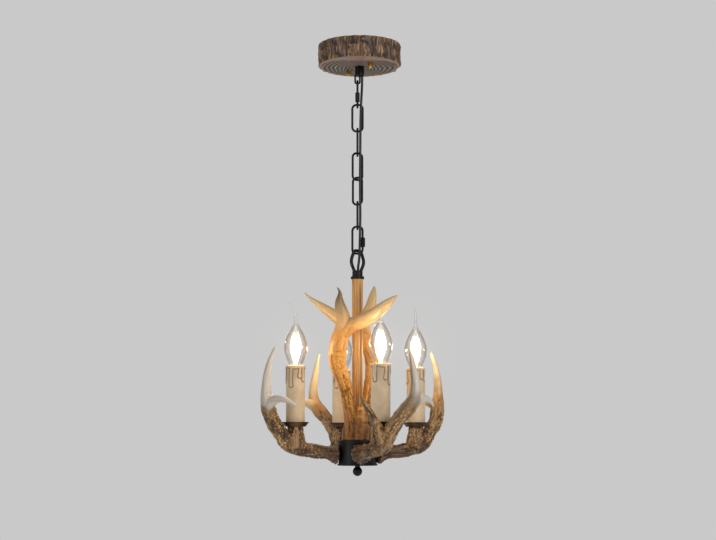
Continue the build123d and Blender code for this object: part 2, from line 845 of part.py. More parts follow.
# ---- Supply cable ----
def supply_cable():
    """Tube from the terminal block down beside the chain to the hub connector."""
    points = [
        Vector(cable_outlet_x, 0, crossbar_bottom - terminal_size[2]),
        Vector(cable_outlet_x, 0, boss_bottom - cable_lead_out),
    ]
    fall = boss_bottom - neck_top
    points += [Vector(x - eye_offset, y, boss_bottom - share * fall) for x, y, share in cable_route]
    points += [
        Vector(-eye_offset, 0, neck_top + cable_lead_in),
        Vector(-eye_offset, 0, splice_top),
    ]
    radii = []
    for before, corner, after in zip(points, points[1:], points[2:]):
        turn = math.radians((corner - before).get_angle(after - corner))
        shorter = min((corner - before).length, (after - corner).length)
        radii.append(cable_bend_share * shorter / math.tan(turn / 2))
    route = FilletPolyline(*points, radius=radii)
    return sweep(Plane(origin=route @ 0, z_dir=route % 0) * Circle(cable_radius), path=route)


os.makedirs("parts", exist_ok=True)

save("ceiling_crossbar", crossbar())
save("canopy_shell", canopy_shell())
save("canopy_screws", canopy_screws())
save("canopy_cap_nuts", canopy_cap_nuts())
save("hanger_loop", hanger_loop())
save("hanger_nut", hanger_nut())
save("terminal_block", terminal_block())
save("ground_screw", ground_screw())

upper_place = chain_axis * Pos(0, 0, upper_quick_top) * Rot(0, 0, 90)
save("upper_quick_link", upper_place * quick_link(quick_link_length, upper_nut_offset, -1))
save("upper_sleeve_nut", upper_place * sleeve_nut(quick_link_length, upper_nut_offset, -1))
for number, azimuth in enumerate(link_azimuths):
    place = chain_axis * Pos(0, 0, link_tops[number]) * Rot(0, 0, azimuth)
    save(f"chain_link_{number + 1}", place * link(link_length))
lower_place = chain_axis * Pos(0, 0, lower_quick_top) * Rot(0, 0, lower_quick_azimuth)
save("lower_quick_link", lower_place * quick_link(lower_quick_link_length, lower_nut_offset, 1))
save("lower_sleeve_nut", lower_place * sleeve_nut(lower_quick_link_length, lower_nut_offset, 1))

save("stem_loop", chain_axis * stem_loop())
save("lamp_pipe", chain_axis * lamp_pipe())
save("stem_tube", chain_axis * stem_tube())
save("hub_cap", chain_axis * hub_cap())
save("hub_body", chain_axis * hub_body())
save("hub_nut", chain_axis * hub_nut())
save("hub_splice", chain_axis * hub_splice())
save("finial", chain_axis * finial())
save("finial_nut", chain_axis * finial_nut())
save("central_antler_front", chain_axis * middle_antler(front_trunk, front_side_tine, -1))
save("central_antler_rear", chain_axis * middle_antler(rear_trunk, rear_side_tine, 1))
save("clasp_screws", chain_axis * clasp_screws())

plain_arm = arm_antler(False)
brow_arm = arm_antler(True)
pan = bobeche()
sleeve = candle_sleeve()
holder = lampholder()
base = bulb_base()
filament = bulb_filament()
for name in arm_azimuths:
    place = chain_axis * on_arm(name)
    candle_place = place * at_candle()
    save(f"arm_antler_{name}", place * (brow_arm if name in ("front", "back") else plain_arm))
    save(f"bobeche_{name}", candle_place * pan)
    save(f"candle_sleeve_{name}", candle_place * sleeve)
    save(f"lampholder_{name}", candle_place * holder)
    save(f"bulb_glass_{name}", candle_place * bulb_glass(tail_leans[name]))
    save(f"bulb_base_{name}", candle_place * base)
    save(f"bulb_filament_{name}", candle_place * filament)
save("arm_nipples", group(*(chain_axis * on_arm(name) * arm_nipple() for name in arm_azimuths)))
save("arm_nuts", group(*(chain_axis * on_arm(name) * arm_nut() for name in arm_azimuths)))

save("supply_cable", supply_cable())
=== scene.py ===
import itertools
import json
import math

import bmesh
import bpy
import numpy as np
from mathutils import Matrix, Vector


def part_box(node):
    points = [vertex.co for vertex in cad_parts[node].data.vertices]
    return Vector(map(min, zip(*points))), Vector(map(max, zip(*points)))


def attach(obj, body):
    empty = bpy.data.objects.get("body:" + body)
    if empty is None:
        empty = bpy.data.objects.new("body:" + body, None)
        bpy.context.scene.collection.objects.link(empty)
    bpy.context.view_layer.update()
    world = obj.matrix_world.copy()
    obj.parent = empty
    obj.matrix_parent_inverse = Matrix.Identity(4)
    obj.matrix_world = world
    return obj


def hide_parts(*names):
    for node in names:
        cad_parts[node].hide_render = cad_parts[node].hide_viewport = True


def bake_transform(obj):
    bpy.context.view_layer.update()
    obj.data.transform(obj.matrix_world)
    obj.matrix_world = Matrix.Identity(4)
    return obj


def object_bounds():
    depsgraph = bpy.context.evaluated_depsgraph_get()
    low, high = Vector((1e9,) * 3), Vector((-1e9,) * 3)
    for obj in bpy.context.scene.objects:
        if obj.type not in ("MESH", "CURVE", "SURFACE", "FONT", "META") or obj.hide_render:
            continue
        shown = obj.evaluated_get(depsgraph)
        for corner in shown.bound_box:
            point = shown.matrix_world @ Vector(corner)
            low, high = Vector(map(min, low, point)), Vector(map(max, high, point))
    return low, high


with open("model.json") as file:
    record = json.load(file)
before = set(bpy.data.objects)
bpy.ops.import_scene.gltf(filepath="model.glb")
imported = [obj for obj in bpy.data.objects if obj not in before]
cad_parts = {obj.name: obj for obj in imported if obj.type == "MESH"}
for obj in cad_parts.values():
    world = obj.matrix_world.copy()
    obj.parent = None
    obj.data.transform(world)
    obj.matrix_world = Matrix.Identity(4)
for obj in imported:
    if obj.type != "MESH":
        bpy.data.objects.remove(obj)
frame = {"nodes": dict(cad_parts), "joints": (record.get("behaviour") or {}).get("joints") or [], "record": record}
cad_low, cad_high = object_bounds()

# Antler chandelier. Metres, +Z up, the viewer looks along +Y.
MM = 0.001
scene = bpy.context.scene

# ---- Camera: its height and distance were worked out from the photograph ----
PHOTO_WIDTH = 716
PHOTO_HEIGHT = 540
HORIZON_ROW = 435.0
FOCAL_PIXELS = 1455.0
CAMERA_PLACE = (-0.0024, -2.226, -0.6057)
PITCH = math.atan((HORIZON_ROW - PHOTO_HEIGHT / 2) / FOCAL_PIXELS)
SENSOR = 36.0
camera_data = bpy.data.cameras.new("camera")
camera_data.sensor_width = SENSOR
camera_data.lens = SENSOR * FOCAL_PIXELS / PHOTO_WIDTH
camera_data.clip_start = 0.05
camera_data.clip_end = 200
camera = bpy.data.objects.new("camera", camera_data)
camera.location = CAMERA_PLACE
camera.rotation_euler = (math.radians(90) + PITCH, 0, 0)
scene.collection.objects.link(camera)
scene.camera = camera

# ---- Places read from the frame ----
# The middle of the hub lies this far below its top
HALF_HUB = 19.0 * MM
hub_low, hub_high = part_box("hub_cap")
axis_x = (hub_low.x + hub_high.x) / 2
hub_top = hub_high.z
hub_radius = (hub_high.x - hub_low.x) / 2
hub_middle = hub_top - HALF_HUB
canopy_low, canopy_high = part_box("canopy_shell")
canopy_bottom = canopy_low.z
canopy_radius = (canopy_high.x - canopy_low.x) / 2

# ---- Candles: heights are above the middle of the hub ----
SLEEVE_RADIUS = 14.4 * MM
SLEEVE_WALL = 2.0 * MM
SLEEVE_LOW = 40.8 * MM
SLEEVE_HIGH = 130.8 * MM
# The filaments start GLOW_FOOT above the sleeve and turn from orange to white over GLOW_RISE
GLOW_FOOT = 8.0 * MM
GLOW_RISE = 12.0 * MM

# ---- Centre lines of the antlers, in millimetres, with a radius at each point ----
# The arms' points are reach from the hub wall, sideways, height from the middle of the hub.
ARM_AZIMUTHS = {"front": -80.0, "right": 13.5, "back": 95.0, "left": 189.5}
CANDLE_REACH = 66.8
CANDLE_SIDE = 17.3
STUB_LOW = 7.0
STUB_TOP = 39.5
ARM_BEAM = [
    (1.0, 0.0, -1.5, 15.2),
    (5.0, 0.4, -1.2, 14.2),
    (11.0, 1.0, -0.2, 10.8),
    (30.0, 3.6, 2.0, 9.8),
    (50.0, 10.0, 4.6, 10.2),
    (68.0, 16.5, 9.5, 11.0),
    (86.0, 23.5, 24.0, 11.0),
    (97.5, 30.0, 39.0, 10.6),
    (107.5, 42.0, 57.0, 10.4),
    (113.5, 55.0, 75.0, 9.6),
    (115.2, 59.0, 90.0, 7.6),
    (114.6, 58.6, 107.0, 6.2),
    (112.0, 56.0, 126.0, 4.6),
    (107.5, 53.6, 142.0, 3.0),
    (101.5, 50.0, 157.5, 1.0),
]
ARM_INNER_TINE = [
    (112.0, 54.0, 70.0, 8.0),
    (104.0, 68.0, 78.0, 6.6),
    (93.0, 80.6, 79.0, 4.6),
    (83.0, 89.0, 74.5, 3.0),
    (74.5, 94.6, 68.5, 1.0),
]
ARM_BROW_TINE = [
    (84.0, 16.0, 24.0, 8.5),
    (92.5, 3.5, 46.0, 6.4),
    (95.5, -7.0, 64.0, 4.6),
    (95.0, -18.0, 82.0, 1.0),
]
ARM_STUB = [
    (CANDLE_REACH, CANDLE_SIDE, STUB_LOW, 18.0),
    (CANDLE_REACH, CANDLE_SIDE, (STUB_LOW + STUB_TOP) / 2, 13.6),
    (CANDLE_REACH, CANDLE_SIDE, STUB_TOP, 10.8),
]
# The middle antlers' points are right of the stem's axis, depth, height above the hub.
FRONT_TRUNK = [
    (-9.0, -12.5, 0.0, 11.0),
    (-10.5, -13.5, 22.0, 9.6),
    (-12.5, -14.0, 45.0, 8.4),
    (-15.0, -14.8, 62.0, 8.4),
    (-20.0, -16.5, 88.0, 9.6),
    (-28.5, -19.0, 110.0, 11.0),
    (-30.3, -21.5, 131.0, 12.6),
    (-27.0, -24.5, 152.0, 12.2),
    (-22.0, -27.5, 172.0, 10.8),
    (-23.5, -29.5, 192.0, 9.2),
    (-27.5, -32.0, 212.0, 5.2),
    (-30.5, -34.0, 230.0, 1.0),
]
FRONT_SIDE_TINE = [
    (-24.0, -26.0, 157.0, 10.5),
    (-8.0, -30.0, 173.0, 10.6),
    (10.2, -35.0, 180.5, 10.2),
    (30.1, -43.0, 192.0, 9.0),
    (48.0, -51.0, 206.5, 5.4),
    (59.7, -56.0, 215.5, 1.0),
]
REAR_TRUNK = [
    (9.0, 12.5, 0.0, 11.0),
    (11.0, 13.5, 28.0, 9.6),
    (13.5, 15.0, 54.0, 8.8),
    (20.0, 18.0, 84.0, 9.6),
    (23.2, 21.0, 115.0, 10.6),
    (16.0, 24.0, 146.0, 11.0),
    (8.0, 27.0, 170.0, 10.6),
    (13.0, 30.0, 188.0, 9.4),
    (19.5, 33.0, 203.0, 8.4),
    (23.0, 35.4, 218.0, 6.4),
    (25.2, 36.5, 230.0, 4.0),
    (26.1, 37.0, 239.0, 1.0),
]
REAR_SIDE_TINE = [
    (13.0, 25.0, 155.0, 10.0),
    (-4.0, 27.0, 174.0, 10.0),
    (-19.3, 27.0, 182.0, 9.6),
    (-35.5, 26.5, 192.0, 8.4),
    (-53.0, 26.0, 204.5, 6.0),
    (-81.9, 26.0, 228.0, 1.0),
]

# ---- Supply cable: its points, in millimetres ----
# CABLE_TOP runs from the terminal block under the ceiling through the boss, and CABLE_END
# from the neck down the stem to the connector in the hub. CABLE_ROUTE lies beside the
# chain: right of the stem's axis, depth, share of the way down from the boss to the neck.
CABLE_RADIUS = 1.9
CABLE_TOP = [(4.2, 0.0, -19.0), (4.2, 0.0, -49.5)]
CABLE_END = [(-3.2, 0.0, -352.9), (-3.2, 0.0, -637.2)]
BOSS_BOTTOM = -48.5
NECK_TOP = -354.4
CABLE_ROUTE = [
    (7.0, -0.6, 0.062),
    (6.2, -3.6, 0.110),
    (5.4, -4.5, 0.160),
    (4.7, -4.6, 0.230),
    (4.5, -4.5, 0.295),
    (4.4, -3.8, 0.350),
    (4.3, -3.8, 0.410),
    (4.1, -4.4, 0.470),
    (4.0, -6.9, 0.527),
    (4.0, -7.0, 0.600),
    (4.2, -7.0, 0.670),
    (4.4, -5.4, 0.728),
    (4.0, -6.8, 0.790),
    (3.6, -6.9, 0.850),
    (3.2, -6.2, 0.910),
    (2.4, -3.6, 0.955),
]


# ---- Noise that is the same on every run ----
def hashed(cell, seed):
    """A number from -1 to 1 for each integer cell. The large numbers only mix the bits."""
    with np.errstate(over="ignore"):
        mixed = cell.astype(np.uint64) @ np.array([73856093, 19349663, 83492791], np.uint64)
        mixed += np.uint64(seed * 668265263)
        mixed ^= mixed >> np.uint64(29)
        mixed *= np.uint64(0xBF58476D1CE4E5B9)
        mixed ^= mixed >> np.uint64(32)
        mixed *= np.uint64(0x94D049BB133111EB)
        mixed ^= mixed >> np.uint64(29)
    return (mixed >> np.uint64(11)).astype(float) / 2.0 ** 52 - 1.0


def noise(points, seed):
    """Smooth noise from -1 to 1 with cells of size 1."""
    cell = np.floor(points).astype(np.int64)
    part = points - cell
    ease = part * part * (3 - 2 * part)
    total = np.zeros(len(points))
    for offset in itertools.product((0, 1), repeat=3):
        weight = np.prod(np.where(np.array(offset) == 1, ease, 1 - ease), axis=1)
        total += weight * hashed(cell + offset, seed)
    return total


def cloudy(points, seed, octaves=3):
    """Sum of finer and finer noise."""
    total = np.zeros(len(points))
    for octave in range(octaves):
        total += noise(points * 2 ** octave + 7.3 * octave, seed + octave) / 2 ** octave
    return total


def spot_gap(points, seed):
    """Distance to the nearest of many scattered spots, one spot in each cell of size 1."""
    cell = np.floor(points).astype(np.int64)
    nearest = np.full(len(points), 9.0)
    for offset in itertools.product((-1, 0, 1), repeat=3):
        near = cell + offset
        scatter = np.stack([hashed(near, seed + axis) for axis in range(3)], axis=1)
        gap = np.linalg.norm(points - (near + 0.5 + 0.42 * scatter), axis=1)
        nearest = np.minimum(nearest, gap)
    return nearest


def furrows(points, seed, narrow, sharp=1.0):
    """1 along winding lines, 0 between them."""
    return np.clip(1 - np.abs(noise(points, seed)) * narrow, 0, 1) ** sharp


def fade(value, low, high):
    """0 below low, 1 above high, smooth between."""
    share = np.clip((value - low) / (high - low), 0, 1)
    return share * share * (3 - 2 * share)


# ---- Mesh helpers ----
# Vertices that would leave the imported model's box stay this far inside it
BOX_MARGIN = 0.01 * MM
# Corners of CAD faces that lie this close are one vertex
WELD = 0.002 * MM


def add_object(name, mesh):
    made = bpy.data.objects.new(name, mesh)
    scene.collection.objects.link(made)
    return made


def shade_smooth(mesh):
    mesh.polygons.foreach_set("use_smooth", [True] * len(mesh.polygons))
    mesh.update()


def vertex_points(mesh):
    points = np.zeros(len(mesh.vertices) * 3)
    mesh.vertices.foreach_get("co", points)
    return points.reshape(-1, 3)


def vertex_normals(mesh):
    normals = np.zeros(len(mesh.vertices) * 3)
    mesh.vertices.foreach_get("normal", normals)
    return normals.reshape(-1, 3)


def set_points(mesh, points):
    """New places for the vertices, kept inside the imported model's box."""
    kept = np.clip(points, np.array(cad_low) + BOX_MARGIN, np.array(cad_high) - BOX_MARGIN)
    mesh.vertices.foreach_set("co", kept.ravel())
    mesh.update()


def store(mesh, name, values):
    """A value or a vector for each vertex, which the materials read."""
    kind = "FLOAT_VECTOR" if values.ndim == 2 else "FLOAT"
    attribute = mesh.attributes.new(name, kind, "POINT")
    key = "vector" if values.ndim == 2 else "value"
    attribute.data.foreach_set(key, values.astype(np.float32).ravel())


# Filler over the heads of the screws that clasp the middle antlers: it ends at the depth
# PLUG_SEAT, and starts level with the surface on a circle of radius PLUG_LOOK round the hole
PLUG_RADIUS = 3.2 * MM
PLUG_LOOK = 4.2 * MM
PLUG_SEAT = -11.6 * MM
LOOK_FROM = -100 * MM


def plug_front(node, x, z):
    """Depth of a node's front surface round a screw hole, as the mean of eight looks at it."""
    depths = []
    for look in range(8):
        turn = look * math.pi / 4
        start = (x + PLUG_LOOK * math.cos(turn), LOOK_FROM, z + PLUG_LOOK * math.sin(turn))
        found, spot, _, _ = frame["nodes"][node].ray_cast(start, (0, 1, 0))
        if found:
            depths.append(spot.y)
    return sum(depths) / len(depths)


def fine_copy(node, voxel, smoothing, plugs=()):
    """A closed, evenly meshed copy of a CAD node, with filler plugs over its screw holes."""
    mesh = frame["nodes"][node].data.copy()
    work = bmesh.new()
    work.from_mesh(mesh)
    bmesh.ops.remove_doubles(work, verts=work.verts, dist=WELD)
    for x, z in plugs:
        front = plug_front(node, x, z)
        place = Matrix.Translation((x, (front + PLUG_SEAT) / 2, z)) @ Matrix.Rotation(math.pi / 2, 4, "X")
        bmesh.ops.create_cone(work, cap_ends=True, cap_tris=True, segments=24, radius1=PLUG_RADIUS,
                              radius2=PLUG_RADIUS, depth=PLUG_SEAT - front, matrix=place)
    work.to_mesh(mesh)
    work.free()
    copy = add_object("fine_" + node, mesh)
    remesh = copy.modifiers.new("remesh", "REMESH")
    remesh.mode = "VOXEL"
    remesh.voxel_size = voxel
    smooth = copy.modifiers.new("smooth", "SMOOTH")
    smooth.factor = 0.5
    smooth.iterations = smoothing
    evaluated = copy.evaluated_get(bpy.context.evaluated_depsgraph_get())
    fine = bpy.data.meshes.new_from_object(evaluated)
    bpy.data.objects.remove(copy)
    fine.materials.clear()
    shade_smooth(fine)
    return fine


def band(first, second, around):
    """Faces between two rings of vertices, given the number of each ring's first vertex."""
    faces = []
    for step in range(around):
        turn = (step + 1) % around
        faces.append((first + step, first + turn, second + turn, second + step))
    return faces


def lathe(rows, around):
    """Closed mesh of revolution about Z from (radius, height) rows; the outline is a loop."""
    points = []
    faces = []
    for number, (radius, height) in enumerate(rows):
        for step in range(around):
            angle = 2 * math.pi * step / around
            points.append((radius * math.cos(angle), radius * math.sin(angle), height))
        faces += band(number * around, (number + 1) % len(rows) * around, around)
    mesh = bpy.data.meshes.new("lathe")
    mesh.from_pydata(points, [], faces)
    shade_smooth(mesh)
    return mesh


# ---- Limbs: a place along and round each antler branch for every vertex ----
LINE_STEPS = 8


def directions(line, first_side):
    """Three directions at each point of a line: along it and two across it that don't twist."""
    along = np.gradient(line, axis=0)
    along /= np.linalg.norm(along, axis=1)[:, None]
    side = np.array(first_side, float)
    across = np.zeros_like(line)
    for place, forward in enumerate(along):
        side = side - forward * (side @ forward)
        side /= np.linalg.norm(side)
        across[place] = side
    return along, across, np.cross(along, across)


def branch(points, to_world):
    """A smooth line through a branch's points: its places, radii, run and directions."""
    rows = np.array(points, float) * MM
    ends = np.vstack([2 * rows[0] - rows[1], rows, 2 * rows[-1] - rows[-2]])
    line = []
    for place in range(1, len(ends) - 2):
        a, b, c, d = ends[place - 1:place + 3]
        for t in np.arange(LINE_STEPS) / LINE_STEPS:
            line.append(0.5 * (2 * b + (c - a) * t + (2 * a - 5 * b + 4 * c - d) * t ** 2
                               + (3 * b - a - 3 * c + d) * t ** 3))
    line = np.vstack([line, rows[-1]])
    centre = to_world(line[:, :3])
    run = np.concatenate([[0], np.cumsum(np.linalg.norm(np.diff(centre, axis=0), axis=1))])
    along, across, third = directions(centre, (0.3, 0.5, 0.8))
    return {"centre": centre, "radius": line[:, 3], "run": run,
            "along": along, "across": across, "third": third}


def on_branch(points, limb):
    """Run along the branch, angle round it and distance outside its surface, for each point."""
    centre = limb["centre"]
    squares = (points ** 2).sum(1)[:, None] + (centre ** 2).sum(1)[None] - 2 * points @ centre.T
    gap = np.sqrt(np.maximum(squares, 0)) - limb["radius"][None]
    near = gap.argmin(axis=1)
    away = points - centre[near]
    forward = (away * limb["along"][near]).sum(1)
    turn = np.arctan2((away * limb["third"][near]).sum(1), (away * limb["across"][near]).sum(1))
    return {"run": limb["run"][near] + forward, "turn": turn, "gap": gap[np.arange(len(points)), near],
            "radius": limb["radius"][near], "length": limb["run"][-1]}


# ---- Relief of the antlers ----
# The grain's coordinates: a run of this length is 1, and the circle round a branch has this radius
GRAIN_RUN = 30 * MM
GRAIN_RADIUS = 1.9
# Each branch's grain and pearls are shifted by these, so that no two branches are alike
GRAIN_SHIFT = 11.7
PEARL_SHIFT = 3.1
PEARL_CELL = np.array([4.8, 3.1, 3.1]) * MM
LUMP_CELL = 10 * MM
LUMP_HEIGHT = 0.5 * MM
BURR_CELL = 5.0 * MM
BURR_SPAN = (2 * MM, 10 * MM)
BLOTCH_CELL = 7 * MM
# A branch of this radius has the full relief, and a thinner one has less
FULL_RADIUS = 9 * MM
# Where two branches meet, their relief mixes over about this distance
MIX_DISTANCE = 1.6 * MM
# Relief that would come nearer to the hub than this is left flat
HUB_CLEARANCE = 0.15 * MM
# The relief runs this share of the antler's length past its brown part
ROUGH_PAST = 0.06
# Shares of a branch's length over which its tip turns grey
TIP_GREY_SPAN = (0.72, 0.97)
# Shares of an antler's length over which the painted shade on its left side starts, and its umber root ends
LEFT_SHADE_SPAN = (0.42, 0.56)
UMBER_SPAN = (0.05, 0.32)


def limb_relief(found, number, here, seed, sizes, pale_span):
    """What one branch gives each vertex: its push outwards, its shade and its grain's place.
    The factors in the calls of noise set how short and narrow each feature is."""
    run = found["run"][:, None]
    circle = np.stack([np.cos(found["turn"]), np.sin(found["turn"])], axis=1)
    grain = np.hstack([run / GRAIN_RUN, GRAIN_RADIUS * circle]) + GRAIN_SHIFT * number
    place = np.hstack([run, found["radius"][:, None] * circle])
    slim = np.clip(found["radius"] / FULL_RADIUS, 0.15, 1.1)

    wander = 0.30 * noise(grain * [1.6, 0.7, 0.7], seed + 50)[:, None]
    deep = furrows(grain + wander, seed, 2.4, 1.4)
    thin = furrows(grain * [2.0, 3.1, 3.1] + wander, seed + 3, 2.2, 1.4)
    edge = here + 0.05 * noise(grain * 0.8, seed + 60)
    rough = 1 - fade(edge, pale_span[0] - ROUGH_PAST, pale_span[1] + ROUGH_PAST)
    pearl = np.clip(1.15 - 1.9 * spot_gap(place / PEARL_CELL + PEARL_SHIFT * number, seed + 9), 0, 1)
    pearled = rough * fade(noise(grain * 0.9, seed + 20), -0.8, 0.2)
    lumps = cloudy(place / LUMP_CELL, seed + 30, 2)

    push = sizes["swell"] + sizes["furrow"] * (0.22 + 0.78 * rough) * (0.34 - 0.6 * deep - 0.4 * thin)
    push += sizes["pearl"] * pearled * (pearl - 0.3) + LUMP_HEIGHT * lumps * rough
    # Painted shade in the furrows and painted highlights on the pearls' tops
    shade = 0.62 + pearled * (0.60 * pearl - 0.20) - (0.42 * deep + 0.24 * thin) * (0.30 + 0.70 * rough)
    return slim * push, shade, grain


def antler_surface(mesh, limbs, seed, sizes, pale_span, left_shade, warm_light):
    """Furrows along each branch, pearls on its lower part and a burr at the root.
    limbs are (branch, start, stop, tip_grey): how far along the whole antler the branch's
    ends are, 0 to 1, and how grey its tip is. pale_span is where the antler turns from
    brown to pale, left_shade how much painted shade browns its left-facing side, and
    warm_light how much painted warm light makes it golden."""
    points = vertex_points(mesh)
    normals = vertex_normals(mesh)
    places = [on_branch(points, limb[0]) for limb in limbs]
    gaps = np.stack([found["gap"] for found in places], axis=1)
    weights = np.exp(-(gaps - gaps.min(axis=1)[:, None]) / MIX_DISTANCE)
    weights /= weights.sum(axis=1)[:, None]
    height, reach, relief_shade, grey_tip_and_left_shade = np.zeros((4, len(points)))
    grain = np.zeros((len(points), 3))
    for number, ((_, start, stop, tip_grey), found) in enumerate(zip(limbs, places)):
        share = np.clip(found["run"] / found["length"], 0, 1)
        here = start + (stop - start) * share
        push, shade, limb_grain = limb_relief(found, number, here, seed, sizes, pale_span)
        weight = weights[:, number]
        height += weight * push
        reach += weight * here
        relief_shade += weight * shade
        grey_tip_and_left_shade += weight * tip_grey * fade(share, *TIP_GREY_SPAN)
        grain += weight[:, None] * limb_grain

    if sizes["burr"]:
        from_hub = np.hypot(points[:, 0] - axis_x, points[:, 1]) - hub_radius
        near_hub = 1 - fade(from_hub, *BURR_SPAN)
        knobs = np.clip(1 - 1.5 * spot_gap(points / BURR_CELL, seed + 40), 0, 1) - 0.35
        height += near_hub * sizes["burr"] * knobs
        # Painted highlights on the burr's knobs and painted shade between them
        relief_shade += near_hub * 0.5 * knobs
    moved = points + normals * height[:, None]
    in_hub = np.hypot(moved[:, 0] - axis_x, moved[:, 1]) < hub_radius + HUB_CLEARANCE
    beside_hub = (moved[:, 2] < hub_top) & in_hub
    moved[beside_hub] = points[beside_hub]
    set_points(mesh, moved)

    blotch = 0.035 * noise(points / BLOTCH_CELL, seed + 70)
    facing_left = -normals[:, 0] + 0.4 * noise(grain * [1.5, 2.5, 2.5], seed + 80)
    # Painted shade: browner on the side that faces left, over the upper part of the antler
    left_side_shade = left_shade * fade(facing_left, -0.1, 0.7) * fade(reach, *LEFT_SHADE_SPAN)
    store(mesh, "pale", fade(reach + blotch, *pale_span))
    store(mesh, "relief_shade", np.clip(relief_shade, 0, 1))
    store(mesh, "grey_tip_and_left_shade", np.clip(np.maximum(grey_tip_and_left_shade, left_side_shade), 0, 1))
    store(mesh, "grain", grain)
    # Painted warm light: how golden this antler is made where warm light falls on it
    store(mesh, "warm_light", np.full(len(points), warm_light))
    store(mesh, "umber", 1 - fade(reach, *UMBER_SPAN))


# ---- Materials ----
def tint(code):
    """Linear colour from six hex digits."""
    values = [int(code[place:place + 2], 16) / 255 for place in (0, 2, 4)]
    return tuple(v / 12.92 if v <= 0.04045 else ((v + 0.055) / 1.055) ** 2.4 for v in values)


class Paint:
    """A material and short calls that add nodes to it."""

    def __init__(self, name):
        self.material = bpy.data.materials.new(name)
        self.material.use_nodes = True
        self.tree = self.material.node_tree
        self.shader = self.tree.nodes["Principled BSDF"]

    def node(self, kind, inputs=None, **settings):
        made = self.tree.nodes.new(kind)
        for key, value in settings.items():
            setattr(made, key, value)
        for key, value in (inputs or {}).items():
            self.put(made.inputs[key], value)
        return made

    def put(self, socket, value):
        if isinstance(value, bpy.types.NodeSocket):
            self.tree.links.new(value, socket)
        elif isinstance(value, tuple) and len(value) == 3 and socket.type == "RGBA":
            socket.default_value = (*value, 1)
        else:
            socket.default_value = value

    def value(self, name):
        return self.node("ShaderNodeAttribute", attribute_name=name).outputs["Fac"]

    def vector(self, name):
        return self.node("ShaderNodeAttribute", attribute_name=name).outputs["Vector"]

    def place(self, scale=(1, 1, 1), source=None):
        source = source or self.node("ShaderNodeTexCoord").outputs["Object"]
        return self.node("ShaderNodeMapping", {"Vector": source, "Scale": scale}).outputs["Vector"]

    def speckle(self, vector, scale, detail=3.0, rough=0.55):
        return self.node("ShaderNodeTexNoise", {
            "Vector": vector, "Scale": scale, "Detail": detail, "Roughness": rough}).outputs["Fac"]

    def ramp(self, factor, stops):
        made = self.node("ShaderNodeValToRGB", {"Fac": factor})
        band = made.color_ramp
        while len(band.elements) < len(stops):
            band.elements.new(0.5)
        for element, (place, colour) in zip(band.elements, stops):
            element.position = place
            element.color = (*colour, 1)
        return made.outputs["Color"]

    def mix(self, factor, first, second, blend="MIX"):
        made = self.node("ShaderNodeMix", data_type="RGBA", blend_type=blend)
        self.put(made.inputs[0], factor)
        self.put(made.inputs[6], first)
        self.put(made.inputs[7], second)
        return made.outputs[2]

    def math(self, operation, first, second=0.5, clamp=False):
        made = self.node("ShaderNodeMath", operation=operation, use_clamp=clamp)
        self.put(made.inputs[0], first)
        self.put(made.inputs[1], second)
        return made.outputs[0]

    def range(self, value, low, high, new_low, new_high):
        made = self.node("ShaderNodeMapRange", {
            "Value": value, "From Min": low, "From Max": high, "To Min": new_low, "To Max": new_high})
        return made.outputs["Result"]

    def bump(self, height, distance, strength=1.0):
        normal = self.node("ShaderNodeBump", {"Height": height, "Distance": distance, "Strength": strength})
        self.put(self.shader.inputs["Normal"], normal.outputs["Normal"])

    def finish(self, inputs):
        """The material, with these inputs of its shader set."""
        for key, value in inputs.items():
            self.put(self.shader.inputs[key], value)
        return self.material


def darker(colour, share):
    return tuple(part * share for part in colour)


def between(first, second, share):
    return tuple(a + share * (b - a) for a, b in zip(first, second))


